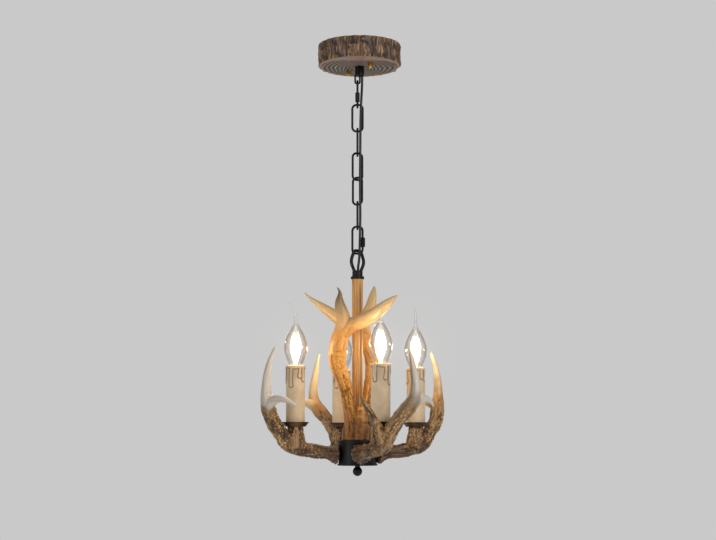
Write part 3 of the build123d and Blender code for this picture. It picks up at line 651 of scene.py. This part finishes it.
def antler_material(name, groove_shade, ground, crest_highlight, umber, warm, pale):
    """Grooves darkened by painted shade, brown ground and crests lit by painted highlights low down;
    smooth and pale towards the tips. warm is the middle's colour and pale the tips'; each has a grey
    tint and a golden one, and the golden one is painted warm light."""
    paint = Paint(name)
    grain = paint.vector("grain")
    relief_shade = paint.value("relief_shade")
    warm_light = paint.value("warm_light")
    lines = paint.speckle(paint.place((0.35, 5.0, 5.0), grain), 3.0, 5.0, 0.65)
    fibres = paint.speckle(paint.place((0.5, 11.0, 11.0), grain), 4.0, 4.0, 0.7)
    patches = paint.speckle(paint.place((1.2, 1.2, 1.2), grain), 0.8, 3.0)
    grit = paint.speckle(paint.place(), 620.0, 3.0, 0.6)
    broken = paint.math("ADD", relief_shade, paint.range(lines, 0.3, 0.7, -0.14, 0.14))
    broken = paint.math("ADD", broken, paint.range(grit, 0.3, 0.7, -0.07, 0.07))
    half_lit = between(ground, crest_highlight, 0.45)
    # Painted shade in the grooves and painted highlights on the crests, led by the relief value
    low = paint.ramp(broken, [(0.10, groove_shade), (0.40, ground), (0.64, half_lit), (0.90, crest_highlight)])
    low = paint.mix(paint.range(patches, 0.40, 0.65, 0, 0.40), low, darker(ground, 0.85))
    low = paint.mix(paint.math("MULTIPLY", paint.value("umber"), 0.72), low, umber)
    streaks = paint.math("ADD", paint.math("MULTIPLY", lines, 0.5), paint.math("MULTIPLY", fibres, 0.5))
    # Painted warm light: the golden tints stand for warm light falling on some antlers
    middle = paint.mix(warm_light, *warm)
    middle = paint.mix(1.0, middle, paint.range(streaks, 0.44, 0.58, 1.0, 0.62), "MULTIPLY")
    tip = paint.mix(warm_light, *pale)
    tip = paint.mix(1.0, tip, paint.range(streaks, 0.46, 0.60, 1.0, 0.76), "MULTIPLY")
    # Painted shade: darker in the furrows once more, multiplied over the colour
    shade = paint.ramp(relief_shade, [(0.05, (0.50, 0.42, 0.34)), (0.36, (0.90, 0.88, 0.86)), (0.6, (1, 1, 1))])
    share = paint.value("pale")
    colour = paint.mix(paint.range(share, 0.0, 0.5, 0, 1), low, middle)
    colour = paint.mix(paint.range(share, 0.4, 1.0, 0, 1), colour, tip)
    colour = paint.mix(1.0, colour, shade, "MULTIPLY")
    # Painted shade on the left-facing side, and greyish brown towards some tips
    colour = paint.mix(paint.value("grey_tip_and_left_shade"), colour, tint("6e5838"))
    paint.bump(streaks, 0.30 * MM, 0.8)
    return paint.finish({
        "Base Color": colour,
        "Roughness": paint.range(patches, 0.3, 0.7, 0.26, 0.44),
        "Specular IOR Level": 0.5})


def bark_material():
    """Furrowed bark with painted shade in its furrows and painted highlights on its ridges; growth rings and a
    paler lip underneath.
    """
    paint = Paint("resin_bark")
    relief_shade = paint.value("relief_shade")
    under = paint.value("under")
    lip = paint.value("lip")
    grain = paint.vector("grain")
    lines = paint.speckle(paint.place((3.0, 3.0, 0.45), grain), 2.6, 5.0, 0.65)
    patches = paint.speckle(paint.place((1, 1, 0.5)), 34.0, 2.0)
    grit = paint.speckle(paint.place(), 700.0, 3.0, 0.6)
    broken = paint.math("ADD", relief_shade, paint.range(lines, 0.3, 0.7, -0.24, 0.24))
    broken = paint.math("ADD", broken, paint.range(grit, 0.3, 0.7, -0.08, 0.08))
    # Painted shade in the furrows and painted highlights on the ridges
    bark = paint.ramp(broken, [
        (0.10, tint("21170f")), (0.42, tint("5a402c")), (0.70, tint("8c6846")), (0.98, tint("d8ae74"))])
    plum = paint.ramp(broken, [(0.10, tint("2a201d")), (0.45, tint("4c3a36")), (0.95, tint("8a6c60"))])
    bark = paint.mix(paint.range(patches, 0.44, 0.60, 0, 0.8), bark, plum)
    # Underside: growth rings darker, partly their own colour and partly painted shade in their grooves
    wood = paint.ramp(relief_shade, [(0.10, tint("35291f")), (0.40, tint("54453d")), (0.90, tint("8c796b"))])
    edge = paint.mix(paint.range(lines, 0.4, 0.65, 0, 0.6), tint("ae8a74"), tint("76594a"))
    colour = paint.mix(under, bark, wood)
    colour = paint.mix(lip, colour, edge)
    paint.bump(paint.math("ADD", lines, paint.math("MULTIPLY", grit, 0.5)), 0.5 * MM, 0.8)
    return paint.finish({"Base Color": colour, "Roughness": paint.range(lines, 0.3, 0.7, 0.34, 0.55)})


def metal_material(name, light, dark, metallic, rough_low, rough_high, scale=90.0, grit=0.06, gloss=0.5):
    """Painted or plated metal with faint wear and grit."""
    paint = Paint(name)
    patches = paint.speckle(paint.place(), scale, 4.0)
    grains = paint.speckle(paint.place(), scale * 5, 2.0)
    colour = paint.ramp(patches, [(0.35, dark), (0.65, light)])
    paint.bump(grains, grit * MM, 0.6)
    return paint.finish({
        "Base Color": colour,
        "Metallic": metallic,
        "Specular IOR Level": gloss,
        "Roughness": paint.range(patches, 0.3, 0.7, rough_low, rough_high)})


def wood_tone_material():
    """Metal tube painted like wood: long streaks down its length."""
    paint = Paint("wood_tone_metal")
    streaks = paint.speckle(paint.place((1, 1, 0.035)), 420.0, 5.0, 0.6)
    broad = paint.speckle(paint.place((1, 1, 0.06)), 110.0, 3.0, 0.6)
    mixed = paint.math("ADD", paint.math("MULTIPLY", streaks, 0.55), paint.math("MULTIPLY", broad, 0.45))
    colour = paint.ramp(mixed, [
        (0.36, tint("74491c")), (0.48, tint("bc884a")), (0.6, tint("dfae6c")), (0.7, tint("f0d09c"))])
    paint.bump(streaks, 0.12 * MM, 0.7)
    return paint.finish({"Base Color": colour, "Roughness": paint.range(streaks, 0.3, 0.7, 0.34, 0.5)})


def wax_material():
    """Ivory sleeve with brown stain round the raised drips."""
    paint = Paint("ivory_plastic")
    clouds = paint.speckle(paint.place(), 55.0, 4.0)
    fine = paint.speckle(paint.place((1, 1, 0.3)), 700.0, 3.0)
    colour = paint.ramp(clouds, [(0.35, tint("d2b896")), (0.65, tint("e4cdac"))])
    stain = paint.math("MULTIPLY", paint.value("stain"), paint.range(fine, 0.25, 0.6, 0.7, 1.0))
    colour = paint.mix(paint.math("MULTIPLY", stain, 0.9, clamp=True), colour, tint("604630"))
    # Darker near the rim, between the drips
    colour = paint.mix(paint.value("rim_darkening"), colour, tint("b0957a"))
    colour = paint.mix(paint.value("pool"), colour, tint("ece3d4"))
    paint.bump(fine, 0.06 * MM, 0.5)
    return paint.finish({
        "Subsurface Weight": 0.15,
        "Subsurface Radius": (4 * MM, 3 * MM, 2 * MM),
        "Subsurface Scale": 1.0,
        "Base Color": colour,
        "Roughness": paint.range(clouds, 0.3, 0.7, 0.42, 0.56)})


def glass_material():
    """Thin clear glass: see-through face on, mirror-like at its edge."""
    paint = Paint("clear_glass")
    facing = paint.node("ShaderNodeLayerWeight", {"Blend": 0.5}).outputs["Facing"]
    clouds = paint.speckle(paint.place(), 60.0, 2.0)
    paint.bump(clouds, 0.05 * MM, 0.3)
    edge = paint.math("POWER", facing, 1.7)
    return paint.finish({
        "Base Color": paint.ramp(clouds, [(0.3, (0.72, 0.70, 0.66)), (0.7, (0.82, 0.79, 0.75))]),
        "Metallic": 1.0,
        "Roughness": paint.range(clouds, 0.3, 0.7, 0.03, 0.06),
        "Alpha": paint.math("ADD", paint.math("MULTIPLY", edge, 0.80), 0.05)})


def glow_material():
    """Lit filaments, orange at their foot."""
    paint = Paint("filament")
    grains = paint.speckle(paint.place(), 900.0, 2.0)
    height = paint.node("ShaderNodeSeparateXYZ", {"Vector": paint.place()}).outputs["Z"]
    foot = hub_middle + SLEEVE_HIGH + GLOW_FOOT
    rise = paint.range(height, foot, foot + GLOW_RISE, 0, 1)
    lit = paint.ramp(rise, [(0.0, (1.0, 0.50, 0.14)), (1.0, (1.0, 0.84, 0.60))])
    return paint.finish({
        "Base Color": (0.9, 0.8, 0.6),
        "Roughness": 0.4,
        "Emission Color": paint.mix(paint.range(grains, 0.3, 0.7, 0, 0.2), lit, (1.0, 0.72, 0.38)),
        "Emission Strength": 2.6})


def plastic_material(name, light, dark, rough):
    """Plain plastic with faint clouds and a fine grain."""
    paint = Paint(name)
    clouds = paint.speckle(paint.place(), 120.0, 3.0)
    fine = paint.speckle(paint.place(), 1500.0, 2.0)
    paint.bump(fine, 0.03 * MM, 0.5)
    return paint.finish({
        "Base Color": paint.ramp(clouds, [(0.35, dark), (0.65, light)]),
        "Roughness": paint.range(clouds, 0.3, 0.7, rough, rough + 0.12)})


materials = {
    "zinc_steel": metal_material("zinc_steel", tint("c3c4c2"), tint("8f9294"), 1.0, 0.28, 0.45),
    "brass": metal_material("brass", tint("d9b25a"), tint("b18a38"), 1.0, 0.18, 0.34),
    "black_metal": metal_material(
        "black_metal", tint("0c0d0e"), tint("050506"), 0.0, 0.34, 0.50, scale=60.0, grit=0.01, gloss=0.28),
    "bronze_metal": metal_material(
        "bronze_metal", tint("6e5238"), tint("38281a"), 0.8, 0.26, 0.42, scale=70.0, grit=0.05),
    "white_plastic": plastic_material("white_plastic", tint("efebe2"), tint("e2ddd2"), 0.4),
    "black_cable": plastic_material("black_cable", tint("17181a"), tint("0e0f10"), 0.34),
    "wood_tone_metal": wood_tone_material(),
    "resin_bark": bark_material(),
    "resin_antler": antler_material(
        "resin_antler", tint("38230f"), tint("987042"), tint("e6c086"), tint("4e3218"),
        (tint("a08a70"), tint("d69a4c")), (tint("e6ddd2"), tint("f6dcae"))),
    "resin_antler_gold": antler_material(
        "resin_antler_gold", tint("a8702c"), tint("d8963e"), tint("f0bc68"), tint("6c4018"),
        (tint("c8944e"), tint("e6a24a")), (tint("d2bc98"), tint("e8c486"))),
    "ivory_plastic": wax_material(),
    "clear_glass": glass_material(),
    "filament": glow_material(),
}


def dress(obj, slot_name):
    obj.data.materials.clear()
    obj.data.materials.append(materials[slot_name])


# Every CAD node gets the material of its slot; pieces that stand for nodes come below.
for part in frame["record"]["subparts"]:
    dress(frame["nodes"][part["node"]], part["material_slot"])


def piece(name, mesh, slot_name, body, *nodes):
    """A piece that rides on a body and is shown in place of CAD nodes."""
    made = add_object(name, mesh)
    dress(made, slot_name)
    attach(made, body)
    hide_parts(*nodes)
    return made


# ---- Canopy ----
BARK_DEPTH = 1.0 * MM
# The bark starts and is full this far inside the canopy's radius
BARK_INSIDE = (6.5 * MM, 3.5 * MM)
# The underside's relief is full and ends this far above the canopy's lowest level
UNDER_LEVELS = (0.4 * MM, 1.2 * MM)
RING_SPACING = 6.4 * MM
RING_HEART = (4.0 * MM, 12.0 * MM)
RING_DEPTH = 1.0 * MM
RING_DRIFT = 4.0 * MM
DRIFT_CELL = 30 * MM
# The smooth lip under the rim is this wide, and wider by NEAR_LIP at the front
LIP_WIDTH = 6.0 * MM
NEAR_LIP = 20.0 * MM
LIP_EDGE = 1.6 * MM
LIP_WAVE = 0.8 * MM
LIP_LUMPS = 0.35 * MM


def canopy_surface(mesh):
    """Bark furrows on the side, growth rings on the underside, a smooth lip round it."""
    points = vertex_points(mesh)
    normals = vertex_normals(mesh)
    radius = np.hypot(points[:, 0], points[:, 1])
    angle = np.arctan2(points[:, 1], points[:, 0])
    circle = np.stack([np.cos(angle), np.sin(angle)], axis=1)
    ring = np.hstack([circle, points[:, 2:] / (2.4 * canopy_radius)])

    wander = 0.9 * noise(ring * [5, 5, 26], 71)[:, None] * [1, 1, 0]
    plates = furrows(ring * [9, 9, 8] + wander * 0.5, 72, 2.2, 1.2)
    ridges = furrows(ring * [21, 21, 8] + wander, 73, 2.0)
    cracks = furrows(ring * [40, 40, 10] + wander, 76, 2.0)
    side = fade(radius, canopy_radius - BARK_INSIDE[0], canopy_radius - BARK_INSIDE[1])
    side *= fade(-np.abs(normals[:, 2]), -0.95, -0.6)
    height = side * (0.9 - 1.0 * plates - 0.8 * ridges - 0.5 * cracks) * BARK_DEPTH

    full, end = UNDER_LEVELS
    under = fade(-points[:, 2], -canopy_bottom - end, -canopy_bottom - full) * fade(-normals[:, 2], 0.4, 0.8)
    from_heart = np.linalg.norm(points[:, :2] - np.array(RING_HEART), axis=1)
    drift = RING_DRIFT * noise(np.hstack([circle * 2, radius[:, None] / DRIFT_CELL]), 74)
    dark_ring = fade(-np.cos((from_heart + drift) / RING_SPACING * 2 * math.pi), -0.35, 0.55)
    lip_start = canopy_radius - LIP_WIDTH - NEAR_LIP * np.clip(-circle[:, 1], 0, 1) ** 3
    lip = under * fade(radius + LIP_WAVE * noise(ring * 6, 77), lip_start, lip_start + LIP_EDGE)
    rings = (under - lip) * dark_ring
    height += lip * LIP_LUMPS * noise(ring * [20, 20, 1], 75) - rings * RING_DEPTH
    set_points(mesh, points + normals * height[:, None])

    # Painted shade: darker in the bark's furrows; darker along the growth rings too, partly their own colour
    relief_shade = 0.86 - side * (0.36 * plates + 0.42 * ridges + 0.26 * cracks) - 0.78 * rings
    store(mesh, "relief_shade", np.clip(relief_shade, 0, 1))
    store(mesh, "under", under)
    store(mesh, "lip", lip)
    store(mesh, "grain", ring * [9, 9, 16])


canopy_mesh = fine_copy("canopy_shell", 0.7 * MM, 2)
canopy_surface(canopy_mesh)
piece("canopy_bark", canopy_mesh, "resin_bark", "canopy", "canopy_shell")


# ---- Antlers ----
ANTLER_VOXEL = 0.65 * MM
ANTLER_SMOOTHING = 3
ARM_SIZES = {"furrow": 1.2 * MM, "pearl": 1.5 * MM, "burr": 2.0 * MM, "swell": 0.3 * MM}
MIDDLE_SIZES = {"furrow": 0.5 * MM, "pearl": 0.1 * MM, "burr": 0.0, "swell": 0.9 * MM}
# Where each arm turns from brown to pale, how much painted shade browns its left side, how much painted warm light
# makes it golden
ARM_LOOKS = {
    "front": ((0.56, 0.76), 0.85, 0.10),
    "right": ((0.55, 0.90), 0.15, 0.80),
    "back": ((0.50, 0.82), 0.15, 1.00),
    "left": ((0.60, 0.70), 0.35, 0.15),
}
MIDDLE_LOOK = ((0.42, 0.95), 0.15, 0.60)
# Where the screws clasp the middle antlers: to each side of the axis, above the hub
CLASP_SPREAD = 12.5 * MM
CLASP_HEIGHT = 26.0 * MM
clasp_holes = [(axis_x + side * CLASP_SPREAD, hub_top + CLASP_HEIGHT) for side in (-1, 1)]


def arm_frame(azimuth):
    """Turns (reach from the hub wall, sideways, height) rows of an arm into places."""
    turn = math.radians(azimuth)

    def to_world(rows):
        out = rows[:, 0] + hub_radius
        x = axis_x + out * math.cos(turn) - rows[:, 1] * math.sin(turn)
        y = out * math.sin(turn) + rows[:, 1] * math.cos(turn)
        return np.stack([x, y, hub_middle + rows[:, 2]], axis=1)

    return to_world


def above_hub(rows):
    return rows + np.array([axis_x, 0, hub_top])


for number, (name, azimuth) in enumerate(ARM_AZIMUTHS.items()):
    to_world = arm_frame(azimuth)
    limbs = [
        (branch(ARM_BEAM, to_world), 0.0, 1.0, 0.0),
        (branch(ARM_INNER_TINE, to_world), 0.66, 1.0, 0.0),
        (branch(ARM_STUB, to_world), 0.20, 0.24, 0.0),
    ]
    if name in ("front", "back"):
        limbs.append((branch(ARM_BROW_TINE, to_world), 0.42, 0.60, 0.8))
    arm_mesh = fine_copy(f"arm_antler_{name}", ANTLER_VOXEL, ANTLER_SMOOTHING)
    antler_surface(arm_mesh, limbs, 100 + 10 * number, ARM_SIZES, *ARM_LOOKS[name])
    piece(f"antler_{name}", arm_mesh, "resin_antler", "fixture", f"arm_antler_{name}")

for seed, name, trunk, tine, tip_grey, plugs in (
        (200, "front", FRONT_TRUNK, FRONT_SIDE_TINE, 0.95, clasp_holes),
        (210, "rear", REAR_TRUNK, REAR_SIDE_TINE, 0.1, ())):
    limbs = [(branch(trunk, above_hub), 0.0, 1.0, tip_grey), (branch(tine, above_hub), 0.62, 1.0, 0.0)]
    middle_mesh = fine_copy(f"central_antler_{name}", ANTLER_VOXEL, ANTLER_SMOOTHING, plugs)
    antler_surface(middle_mesh, limbs, seed, MIDDLE_SIZES, *MIDDLE_LOOK)
    piece(f"middle_antler_{name}", middle_mesh, "resin_antler_gold", "fixture", f"central_antler_{name}")


# ---- Candles ----
SLEEVE_SIDES = 220
SLEEVE_ROWS = 190
# The straight wall ends this far below the sleeve's rounded rim
RIM_ROUND = 1.2 * MM
# Where each drip runs round the sleeve, in radians, and how far down it comes, in millimetres
DRIPS = [(0.15, 17), (0.95, 26), (1.75, 14), (2.6, 23), (3.45, 18), (4.25, 27), (5.1, 15), (5.75, 21)]
DRIP_WIDTH = 1.9 * MM
DRIP_BULGE = 0.9 * MM
DRIP_SWAY = 0.5 * MM
SWAY_LENGTH = 6 * MM
# Between the drips the wax comes this far down from the rim
SKIRT = 4.0 * MM
SKIRT_WAVE = 1.2 * MM
WAX_HEIGHT = 0.9 * MM
WAX_SINK = 0.15 * MM
WAX_LUMPS = 0.12 * MM
WAX_CELL = 14 * MM
PUDDLE = 4.0 * MM
PUDDLE_WAVE = 3.0 * MM
STAIN_PLACE = 0.6 * MM
STAIN_WIDTH = 0.85 * MM


def wax_gap(angle, depth, seed):
    """How far each point of a sleeve lies outside the wax that has run down from its rim."""
    gap = np.full(len(angle), 1.0)
    for number, (place, length) in enumerate(DRIPS):
        turn = place + 0.25 * math.sin(seed + 2.3 * number)
        drop = (length + 4 * math.sin(seed * 1.7 + number)) * MM
        across = ((angle - turn + math.pi) % (2 * math.pi) - math.pi) * SLEEVE_RADIUS
        across = across - DRIP_SWAY * np.sin(depth / SWAY_LENGTH + number)
        width = DRIP_WIDTH + DRIP_BULGE * fade(depth, drop * 0.55, drop)
        gap = np.minimum(gap, np.hypot(across, depth - np.clip(depth, 0, drop)) - width)
    skirt = SKIRT + SKIRT_WAVE * np.sin(3 * angle + seed)
    return np.minimum(gap, depth - skirt)


def candle_mesh(seed):
    """Sleeve with raised drips from its rim and spilt wax round its foot."""
    outside = [(SLEEVE_RADIUS, z) for z in np.linspace(SLEEVE_LOW, SLEEVE_HIGH - RIM_ROUND, SLEEVE_ROWS)]
    top = [
        (SLEEVE_RADIUS - 0.3 * MM, SLEEVE_HIGH - 0.4 * MM),
        (SLEEVE_RADIUS - 0.8 * MM, SLEEVE_HIGH),
        (SLEEVE_RADIUS - SLEEVE_WALL + 0.3 * MM, SLEEVE_HIGH),
    ]
    inside = [(SLEEVE_RADIUS - SLEEVE_WALL, z) for z in np.linspace(SLEEVE_HIGH - 0.5 * MM, SLEEVE_LOW, 12)]
    mesh = lathe(outside + top + inside, SLEEVE_SIDES)

    points = vertex_points(mesh)
    radius = np.hypot(points[:, 0], points[:, 1])
    angle = np.arctan2(points[:, 1], points[:, 0]) % (2 * math.pi)
    outer = fade(radius, SLEEVE_RADIUS - 1.0 * MM, SLEEVE_RADIUS - 0.5 * MM)
    depth = SLEEVE_HIGH - points[:, 2]
    gap = wax_gap(angle, depth, seed)
    raised = 1 - fade(gap, -0.5 * MM, 0.35 * MM)
    lumps = WAX_LUMPS * cloudy(points / WAX_CELL, seed + 300, 2)
    circle = np.stack([2 * np.cos(angle), 2 * np.sin(angle), 0 * angle], axis=1)
    puddle = PUDDLE + PUDDLE_WAVE * noise(circle, seed + 320)
    pool = outer * (1 - fade(points[:, 2] - SLEEVE_LOW, puddle * 0.6, puddle))
    push = outer * (raised * WAX_HEIGHT - WAX_SINK + lumps) + pool * WAX_HEIGHT
    points[:, :2] *= ((radius + push) / radius)[:, None]
    mesh.vertices.foreach_set("co", points.ravel())
    mesh.update()

    stain = 1.2 * outer * np.exp(-((gap - STAIN_PLACE) / STAIN_WIDTH) ** 2) * fade(depth, 2.0 * MM, 4.0 * MM)
    # Darker near the rim, away from the drips, fading out lower down
    rim_darkening = 0.5 * outer * fade(-depth, -34 * MM, -6 * MM) * fade(gap, 0.4 * MM, 2.0 * MM)
    for key, values in (("stain", stain), ("rim_darkening", rim_darkening), ("pool", pool)):
        store(mesh, key, np.clip(values, 0, 1))
    return mesh


for number, (name, azimuth) in enumerate(ARM_AZIMUTHS.items()):
    sleeve_mesh = candle_mesh(number + 1)
    own_places = vertex_points(sleeve_mesh) + np.array([CANDLE_REACH, CANDLE_SIDE, 0]) * MM
    sleeve_mesh.vertices.foreach_set("co", arm_frame(azimuth)(own_places).ravel())
    sleeve_mesh.update()
    piece(f"candle_{name}", sleeve_mesh, "ivory_plastic", "fixture", f"candle_sleeve_{name}")

# The left bulb's tail curls outwards by TAIL_CURL over its top TAIL_HIGH
TAIL_HIGH = 31.0 * MM
TAIL_CURL = 5.0 * MM
tail_mesh = frame["nodes"]["bulb_glass_left"].data.copy()
tail_points = vertex_points(tail_mesh)
tail_share = np.clip((tail_points[:, 2] - tail_points[:, 2].max()) / TAIL_HIGH + 1, 0, 1)
tail_points[:, 0] -= TAIL_CURL * tail_share ** 2
tail_mesh.vertices.foreach_set("co", tail_points.ravel())
tail_mesh.update()
piece("bulb_tail_left", tail_mesh, "clear_glass", "bulb_left", "bulb_glass_left")


# ---- Supply cable: one smooth line, in lengths that each span one joint ----
TUBE_SIDES = 14
# The first and last cuts lie this far inside the line's ends
END_CUT = 0.001 * MM
# Points of the line this close to a cut are left out
CUT_CLEARANCE = 0.1 * MM


def cable_line():
    """Points along the cable, read from a curve led by its route."""
    fall = BOSS_BOTTOM - NECK_TOP
    beside = [(x + axis_x / MM, y, BOSS_BOTTOM - share * fall) for x, y, share in CABLE_ROUTE]
    points = CABLE_TOP + beside + CABLE_END
    curve = bpy.data.curves.new("cable_line", "CURVE")
    curve.dimensions = "3D"
    spline = curve.splines.new("NURBS")
    spline.points.add(len(points) - 1)
    for made, (x, y, z) in zip(spline.points, points):
        made.co = (x * MM, y * MM, z * MM, 1)
    spline.order_u = 3
    spline.use_endpoint_u = True
    curve.resolution_u = 12
    holder = add_object("cable_line", curve)
    mesh = bpy.data.meshes.new_from_object(holder.evaluated_get(bpy.context.evaluated_depsgraph_get()))
    line = vertex_points(mesh)
    bpy.data.objects.remove(holder)
    return line


def tube(line, radius):
    """Closed round tube along a line of points."""
    _, across, third = directions(line, (1, 0, 0))
    rows = []
    for centre, side, up in zip(line, across, third):
        for step in range(TUBE_SIDES):
            angle = 2 * math.pi * step / TUBE_SIDES
            rows.append(centre + radius * (side * math.cos(angle) + up * math.sin(angle)))
    last = len(rows) - TUBE_SIDES
    faces = [tuple(range(TUBE_SIDES - 1, -1, -1)), tuple(range(last, len(rows)))]
    for first in range(0, last, TUBE_SIDES):
        faces += band(first, first + TUBE_SIDES, TUBE_SIDES)
    mesh = bpy.data.meshes.new("cable")
    mesh.from_pydata([tuple(row) for row in rows], [], faces)
    shade_smooth(mesh)
    return mesh


def cut_line(line, high, low):
    """The part of a falling line between two heights, ending exactly on them."""

    def crossing(height):
        place = int(np.argmax(line[:, 2] <= height))
        above, below = line[place - 1], line[place]
        return above + (below - above) * (above[2] - height) / (above[2] - below[2])

    inner = line[(line[:, 2] < high - CUT_CLEARANCE) & (line[:, 2] > low + CUT_CLEARANCE)]
    return np.vstack([crossing(high), inner, crossing(low)])


hinges = [joint for joint in frame["joints"] if joint["type"] == "hinge"]
whole_line = cable_line()
heights = [joint["pos_m"][2] for joint in hinges]
mid_links = [(above + below) / 2 for above, below in zip(heights, heights[1:])]
cuts = [whole_line[0][2] - END_CUT] + mid_links + [whole_line[-1][2] + END_CUT]
for number, joint in enumerate(hinges):
    length = cut_line(whole_line, cuts[number], cuts[number + 1])
    made = add_object(f"supply_cable_{number + 1}", tube(length, CABLE_RADIUS * MM))
    dress(made, "black_cable")
    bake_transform(made)
    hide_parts("supply_cable")


# ---- Stage ----
FLOOR_HEIGHT = -1.9
FLOOR_RADIUS = 9.0
BACKGROUND_GREY = tint("c9c9c9")
# The grey backdrop lights the object with this share of the strength that the camera sees
FILL_STRENGTH = 0.62


def grey(value):
    return (value, value, value)


floor_mesh = bpy.data.meshes.new("floor")
work = bmesh.new()
bmesh.ops.create_circle(work, cap_ends=True, cap_tris=False, segments=96, radius=FLOOR_RADIUS)
work.to_mesh(floor_mesh)
work.free()
floor = add_object("floor", floor_mesh)
floor.location = (0, 0, FLOOR_HEIGHT)
# A pale floor, with a faint light of its own that brings it near the backdrop's grey
floor_paint = Paint("floor_paint")
floor_clouds = floor_paint.speckle(floor_paint.place(), 1.5, 3.0)
floor_mesh.materials.append(floor_paint.finish({
    "Base Color": floor_paint.ramp(floor_clouds, [(0.3, grey(0.86)), (0.7, grey(0.90))]),
    "Roughness": 0.9,
    "Emission Color": grey(0.9),
    "Emission Strength": 0.14}))

world = bpy.data.worlds.new("studio")
scene.world = world
world.use_nodes = True
sky = world.node_tree
backdrop = sky.nodes["Background"]
backdrop.inputs["Color"].default_value = (*BACKGROUND_GREY, 1)
seen = sky.nodes.new("ShaderNodeLightPath").outputs["Is Camera Ray"]
strength = sky.nodes.new("ShaderNodeMapRange")
strength.inputs["To Min"].default_value = FILL_STRENGTH
sky.links.new(seen, strength.inputs["Value"])
sky.links.new(strength.outputs["Result"], backdrop.inputs["Strength"])
scene.view_settings.view_transform = "Standard"

# ---- Light ----
MIDDLE = (0, 0, -0.45)
BULB_POWER = 0.29
BULB_COLOUR = (1.0, 0.76, 0.46)
BULB_SOFTNESS = 9 * MM
# Each bulb's light sits this far above the middle of its filaments
BULB_LIFT = 12 * MM


def add_light(name, kind, place, power, colour):
    data = bpy.data.lights.new(name, kind)
    data.energy = power
    data.color = colour
    light = bpy.data.objects.new(name, data)
    light.location = place
    scene.collection.objects.link(light)
    return light


def soft_box(name, place, size, power, colour):
    """A round area light that looks at the middle of the object."""
    light = add_light(name, "AREA", place, power, colour)
    light.data.shape = "DISK"
    light.data.size = size
    light.rotation_mode = "QUATERNION"
    light.rotation_quaternion = (Vector(MIDDLE) - Vector(place)).to_track_quat("-Z", "Y")


soft_box("key", (1.6, -2.2, 0.5), 1.2, 26.0, (1.0, 0.97, 0.93))
soft_box("fill", (-2.2, -1.6, -0.3), 1.6, 10.0, (0.95, 0.97, 1.0))
for name in ARM_AZIMUTHS:
    low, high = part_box(f"bulb_filament_{name}")
    spot = (Vector(low) + Vector(high)) / 2 + Vector((0, 0, BULB_LIFT))
    bulb_light = add_light(f"bulb_light_{name}", "POINT", spot, BULB_POWER, BULB_COLOUR)
    bulb_light.data.shadow_soft_size = BULB_SOFTNESS

# ---- Bloom: a little glow round the lit filaments, as a lens gives ----
scene.use_nodes = True
picture = scene.node_tree
picture.nodes.clear()
layers = picture.nodes.new("CompositorNodeRLayers")
bloom = picture.nodes.new("CompositorNodeGlare")
bloom.glare_type = "BLOOM"
bloom.quality = "HIGH"
for key, value in (("Threshold", 1.1), ("Strength", 0.16), ("Size", 0.25)):
    bloom.inputs[key].default_value = value
shown = picture.nodes.new("CompositorNodeComposite")
picture.links.new(layers.outputs["Image"], bloom.inputs["Image"])
picture.links.new(bloom.outputs["Image"], shown.inputs["Image"])
